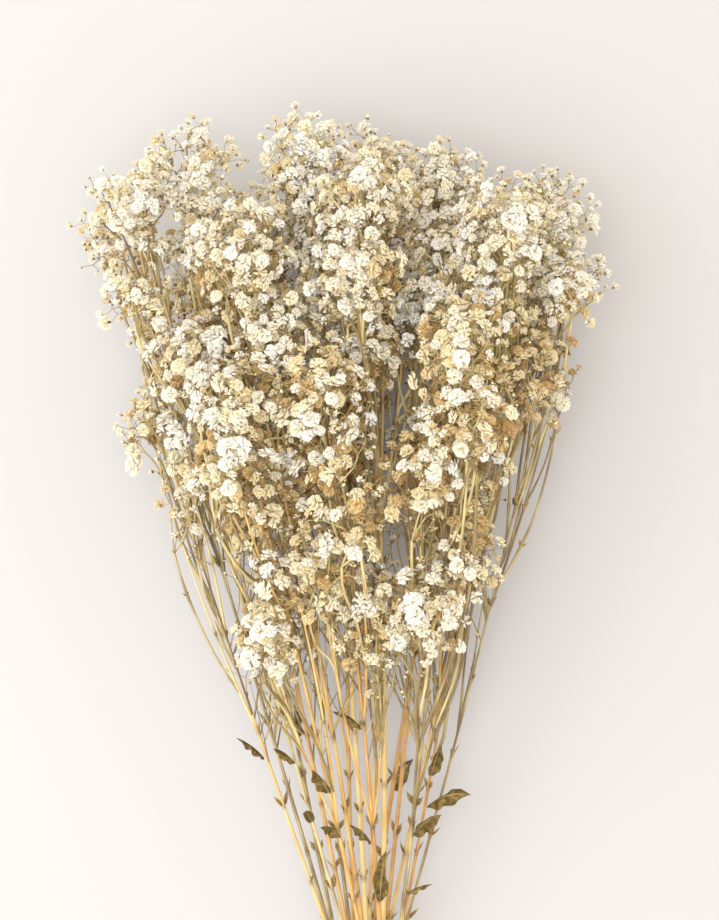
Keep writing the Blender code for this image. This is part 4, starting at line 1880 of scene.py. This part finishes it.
LEAVES = (
    Leaf(4, -0.070, 120.0, 35.0, 0.022, 0.005, 60.0),
    Leaf(1, -0.086, 110.0, 30.0, 0.026, 0.006, 40.0),
    Leaf(1, -0.112, 115.0, 35.0, 0.024, 0.005, 70.0),
    Leaf(4, -0.104, 100.0, 35.0, 0.022, 0.004, 90.0),
    Leaf(7, -0.096, 30.0, 50.0, 0.030, 0.007, 60.0),
    Leaf(3, -0.112, 50.0, 35.0, 0.030, 0.008, 50.0),
    Leaf(7, -0.078, 80.0, 25.0, 0.026, 0.005, 30.0),
    Leaf(2, -0.050, 190.0, 35.0, 0.020, 0.005, 80.0),
    Leaf(2, -0.116, 160.0, 30.0, 0.018, 0.005, 50.0),
    Leaf(2, -0.150, 60.0, 16.0, 0.036, 0.006, 15.0),
    Leaf(3, -0.146, 30.0, 55.0, 0.018, 0.004, 40.0),
    Leaf(8, -0.068, 170.0, 25.0, 0.020, 0.005, 40.0),
    Leaf(17, -0.060, 280.0, 20.0, 0.024, 0.005, 50.0),
    Leaf(19, -0.090, 300.0, 30.0, 0.026, 0.006, 60.0),
)


@dataclass
class Foliage:
    """Makes the withered leaves: thin blades, cupped, curled, twisted and wavy at the edge."""

    line: BunchLine
    finish: bpy.types.Material
    first_seed: int = 500
    thickness: float = 0.00035
    stalk_width: float = 0.0011
    steps_along: int = 26
    steps_across: int = 8
    fullness: float = 1.4
    cup: float = 0.80
    wave: float = 0.30
    wave_pace: float = 17.0
    twist: float = 1.9
    relief: float = 0.75
    stem_taper: float = 0.50
    seat_gap: float = 0.0001

    def make(self, index: int, leaf: Leaf) -> bpy.types.Object:
        """Make one leaf.

        Args:
            index: its number, from nothing.
            leaf: its place and form.

        Returns:
            The leaf, with its place in its mesh.
        """
        luck = Luck(self.first_seed + index)
        phase, turn = luck.turn(), self.twist * luck.uniform(-1.0, 1.0)
        shape = bmesh.new()
        bmesh.ops.create_grid(shape, x_segments=self.steps_across, y_segments=self.steps_along, size=1.0)
        spots = []
        for vert in shape.verts:
            side, share = vert.co.x, (vert.co.y + 1.0) / 2.0
            spots.extend((side, share, 0.0))
            vert.co = self.bent(leaf, side, share, phase, turn)
        mesh = bpy.data.meshes.new("blade")
        shape.to_mesh(mesh)
        shape.free()
        note(mesh, "blade", "FLOAT_VECTOR", spots)
        mesh.transform(self.seat(leaf))
        blade = shown("blade", mesh)
        skin = blade.modifiers.new("thickness", "SOLIDIFY")
        skin.thickness, skin.offset = self.thickness, 0.0
        solid = settled(blade)
        solid.shade_smooth()
        solid.materials.append(self.finish)
        return shown(f"withered_leaf_{index + 1:02d}", solid)

    def bent(self, leaf: Leaf, side: float, share: float, phase: float, turn: float) -> Vector:
        """Where a point of the flat blade comes to lie.

        Args:
            leaf: the leaf's form.
            side: the point's place across the blade, from -1 to 1.
            share: its place along the blade, from nothing to one.
            phase: where the waves of the edge start.
            turn: the angle that the whole blade twists through.

        Returns:
            The place, in the leaf's own axes.
        """
        form = math.sin(math.pi * min(1.0, 0.06 + 0.94 * share) ** 0.8)
        half = max(self.stalk_width / 2.0 * (1.0 - 0.6 * share), leaf.width / 2.0 * self.fullness * form)
        bend = math.radians(leaf.curl * self.relief)
        angle, roll = bend * share, turn * share
        edge = side * side * half
        flat = side * half
        cup = edge * self.cup + edge * self.wave * math.sin(share * self.wave_pace + phase + 2.0 * side)
        across = flat * math.cos(roll) - cup * math.sin(roll)
        cup = flat * math.sin(roll) + cup * math.cos(roll)
        along = leaf.length * math.sin(angle) / bend - cup * math.sin(angle)
        return Vector((across, along, leaf.length * (1.0 - math.cos(angle)) / bend + cup * math.cos(angle)))

    def seat(self, leaf: Leaf) -> Matrix:
        """Where a leaf sits on its stem, and how it stands.

        Args:
            leaf: the leaf.

        Returns:
            The turn and the place.
        """
        spray = SPRAYS[leaf.stem - 1]
        place = leaf.y - self.line.tie[1]
        stem = self.line.heading(spray, place)
        around, rise = math.radians(leaf.around), math.radians(leaf.rise * self.relief)
        outward = Vector((math.cos(around), 0.0, math.sin(around)))
        outward = (outward - stem * outward.dot(stem)).normalized()
        length_axis = stem * math.cos(rise) + outward * math.sin(rise)
        face_axis = outward * math.cos(rise) - stem * math.sin(rise)
        thick = STEM_RADIUS * (1.0 - self.stem_taper * place / self.line.reach(spray))
        foot = self.line.stem_point(spray, place) + outward * (thick + self.seat_gap)
        turn = Matrix((length_axis.cross(face_axis), length_axis, face_axis)).transposed().to_4x4()
        return Matrix.Translation(foot) @ turn


@dataclass
class Twine:
    """Makes the tie: a cord of twisted strands, wound round the stems and knotted on top."""

    line: BunchLine
    diameter: float = 0.0020
    turns: int = 5
    steps_a_turn: int = 72
    strand_count: int = 3
    strand_sides: int = 6
    strand_offset: float = 0.23
    strand_thickness: float = 0.27
    lay: float = 0.0060
    point_step: float = 0.0007
    slant_allowance: float = 1.06
    clearance: float = 0.0003
    knot_width: float = 0.0034
    knot_steps: int = 90

    def inner_radius(self, distance: float) -> float:
        """The radius that just clears the stems, at a distance along the bunch from the tie's middle.

        Args:
            distance: the distance.

        Returns:
            The radius.
        """
        total = abs(distance) * (self.line.spread_x + self.line.spread_z)
        unlike = abs(distance) * (self.line.spread_x - self.line.spread_z)
        growth = (math.sqrt(4.0 + total ** 2) + unlike) / 2.0
        return 2.0 * self.line.pitch * growth + STEM_RADIUS * self.slant_allowance + self.clearance

    def winding(self) -> list[Vector]:
        """The middle line of the cord round the stems, in the tie's own axes.

        Returns:
            The points of the line.
        """
        count = self.turns * self.steps_a_turn
        half = self.diameter * (self.turns - 1) / 2.0
        points = []
        for share in (step / count for step in range(count + 1)):
            angle = math.tau * self.turns * share + math.pi / 2.0
            place = -half + 2.0 * half * share
            radius = self.inner_radius(place) + self.diameter / 2.0
            points.append(Vector((math.cos(angle) * radius, math.sin(angle) * radius, place)))
        return points

    def knot(self) -> list[Vector]:
        """The middle line of the knot, a closed trefoil that lies on the winding.

        Returns:
            The points of the line.
        """
        base = self.inner_radius(0.0) + self.diameter * 1.7
        points = []
        for t in (math.tau * step / self.knot_steps for step in range(self.knot_steps + 1)):
            x = (math.sin(t) + 2.0 * math.sin(2.0 * t)) * self.knot_width / 3.0
            z = (math.cos(t) - 2.0 * math.cos(2.0 * t)) * self.knot_width / 3.0
            points.append(Vector((x, base - math.sin(3.0 * t) * self.diameter * 0.35, z)))
        return points

    def twist(self, middle: list[Vector], place: Matrix) -> list[Strand]:
        """Turn a cord's middle line into its twisted strands.

        Args:
            middle: the points of the line.
            place: where the tie sits and how it is turned.

        Returns:
            The strands.
        """
        spaced = self.resample(middle)
        normal = (spaced[1] - spaced[0]).orthogonal().normalized()
        lines: list[list[Vector]] = [[] for _ in range(self.strand_count)]
        run = 0.0
        for behind, point, ahead in zip(spaced[:1] + spaced, spaced, spaced[1:] + spaced[-1:]):
            way = (ahead - behind).normalized()
            normal = (normal - way * normal.dot(way)).normalized()
            other = way.cross(normal)
            run += (point - behind).length
            for number, line in enumerate(lines):
                angle = math.tau * (run / self.lay + number / self.strand_count)
                out = (normal * math.cos(angle) + other * math.sin(angle)) * self.diameter * self.strand_offset
                line.append(place @ (point + out))
        thick = self.diameter * self.strand_thickness
        return [Strand(line, [thick] * len(line), 0.5, [0.0] * len(line)) for line in lines]

    def resample(self, middle: list[Vector]) -> list[Vector]:
        """Points at even steps along a line.

        Args:
            middle: the points of the line.

        Returns:
            The new points.
        """
        spots = np.array(middle)
        runs = np.concatenate(([0.0], np.cumsum(np.linalg.norm(np.diff(spots, axis=0), axis=1))))
        wanted = np.linspace(0.0, runs[-1], int(runs[-1] / self.point_step) + 1)
        return [Vector([float(np.interp(run, runs, spots[:, axis])) for axis in range(3)]) for run in wanted]

    def make(self, tubes: TubeTree, finish: bpy.types.Material) -> bpy.types.Object:
        """Make the tie as one piece.

        Args:
            tubes: what makes its strands.
            finish: its material.

        Returns:
            The tie.
        """
        turn = self.line.direction().to_track_quat("Z", "Y").to_matrix().to_4x4()
        place = Matrix.Translation(self.line.tie) @ turn
        strands = self.twist(self.winding(), place) + self.twist(self.knot(), place)
        return tubes.make("jute_tie", strands, finish, (self.strand_sides,) * 3)


class Side(Enum):
    """Where a studio light stands, as a place in metres."""

    WINDOW = (-1.25, -0.15, 1.25)
    CEILING = (-0.15, 0.0, 2.60)


@dataclass
class Studio:
    """The pale surface, the soft light from the left and the camera straight above."""

    aim: Triple = (0.0109, 0.1010, 0.0875)
    camera_height: float = 2.0
    frame_height: float = 0.515
    sensor: float = 36.0
    floor_size: float = 20.0
    window_power: float = 30.0
    window_size: float = 2.0
    ceiling_power: float = 34.0
    ceiling_size: float = 1.2
    lamp_tint: str = "F6F7FF"
    air_strength: float = 1.38
    air_tint: str = "FFF7EC"
    film_gamma: float = 1.30

    def light(self, side: Side, power: float, size: float) -> None:
        """Add a soft light that faces the bunch.

        Args:
            side: where it stands.
            power: its power in watts.
            size: the length of its side.
        """
        lamp = bpy.data.lights.new(side.name.lower(), "AREA")
        lamp.shape, lamp.size, lamp.energy = "SQUARE", size, power
        lamp.color = linear(self.lamp_tint)[:3]
        thing = shown(lamp.name, lamp)
        thing.location = side.value
        thing.rotation_euler = (Vector(self.aim) - Vector(side.value)).to_track_quat("-Z", "Y").to_euler()

    def floor(self) -> None:
        """Add the floor."""
        half = self.floor_size / 2.0
        mesh = bpy.data.meshes.new("board")
        mesh.from_pydata([(-half, -half, 0.0), (half, -half, 0.0), (-half, half, 0.0), (half, half, 0.0)], [],
                         [(0, 1, 3, 2)])
        mesh.materials.append(FloorFinish().build())
        shown("board", mesh)

    def build(self) -> None:
        """Add the floor, the lights, the air and the camera."""
        self.floor()
        self.light(Side.WINDOW, self.window_power, self.window_size)
        self.light(Side.CEILING, self.ceiling_power, self.ceiling_size)
        air = bpy.data.worlds.new("air")
        air.use_nodes = True
        Nodes(air.node_tree).feed(air.node_tree.nodes["Background"],
                                  {"Color": linear(self.air_tint), "Strength": self.air_strength})
        lens = bpy.data.cameras.new("camera")
        lens.sensor_width = self.sensor
        lens.lens = self.sensor * self.camera_height / self.frame_height
        camera = shown("camera", lens)
        camera.location = Vector(self.aim) + Vector((0.0, 0.0, self.camera_height))
        scene = bpy.context.scene
        scene.world, scene.camera = air, camera
        scene.view_settings.view_transform = "Standard"
        scene.view_settings.gamma = self.film_gamma


def hand_over(piece: bpy.types.Object, node: str) -> None:
    """Put a piece in the place of a node of the frame.

    Args:
        piece: the finished piece.
        node: the node that it stands for.
    """
    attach(piece, BODY)
    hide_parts(node)
    LOG.info("%s stands for %s, %d faces", piece.name, node, len(piece.data.polygons))


def main() -> None:
    """Build the bunch, stem by stem, and its studio."""
    logging.basicConfig(level=logging.INFO, format="%(name)s: %(message)s")
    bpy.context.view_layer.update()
    line = BunchLine()
    space = FlowerSpace(line)
    straw, petal, withered, jute = StrawFinish(), PetalFinish(), LeafFinish(), TwineFinish()
    cane, paper = straw.build(), petal.build()
    tubes, sower, shapes = TubeTree(), SowTree(), ShapeSet()
    sown = Blossom().sow(space)
    LOG.info("%d tufts of %d florets and buds", sum(len(row) for row in sown),
             sum(len(tuft.seeds) for row in sown for tuft in row))
    plant = Plant(line)
    for index in range(len(SPRAYS)):
        own = [tufts for (head, _), tufts in zip(space.rows, sown) if head == index]
        plant.grow(index, space, own)
        number = f"{index + 1:02d}"
        stem = tubes.make(f"flowering_stem_{number}", plant.strands, cane)
        hand_over(stem, f"stem_{number}")
        seeds = [seed for row in own for tuft in row for seed in tuft.seeds] + plant.bracts
        spray = sower.make(f"florets_{number}", seeds, shapes.group, paper)
        hand_over(spray, f"flower_head_{number}")
    shapes.clear()
    foliage = Foliage(line, withered.build())
    for index, leaf in enumerate(LEAVES):
        hand_over(foliage.make(index, leaf), f"leaf_{index + 1:02d}")
    hand_over(Twine(line).make(tubes, jute.build()), "twine_tie")
    Studio().build()


if __name__ == "__main__":
    main()
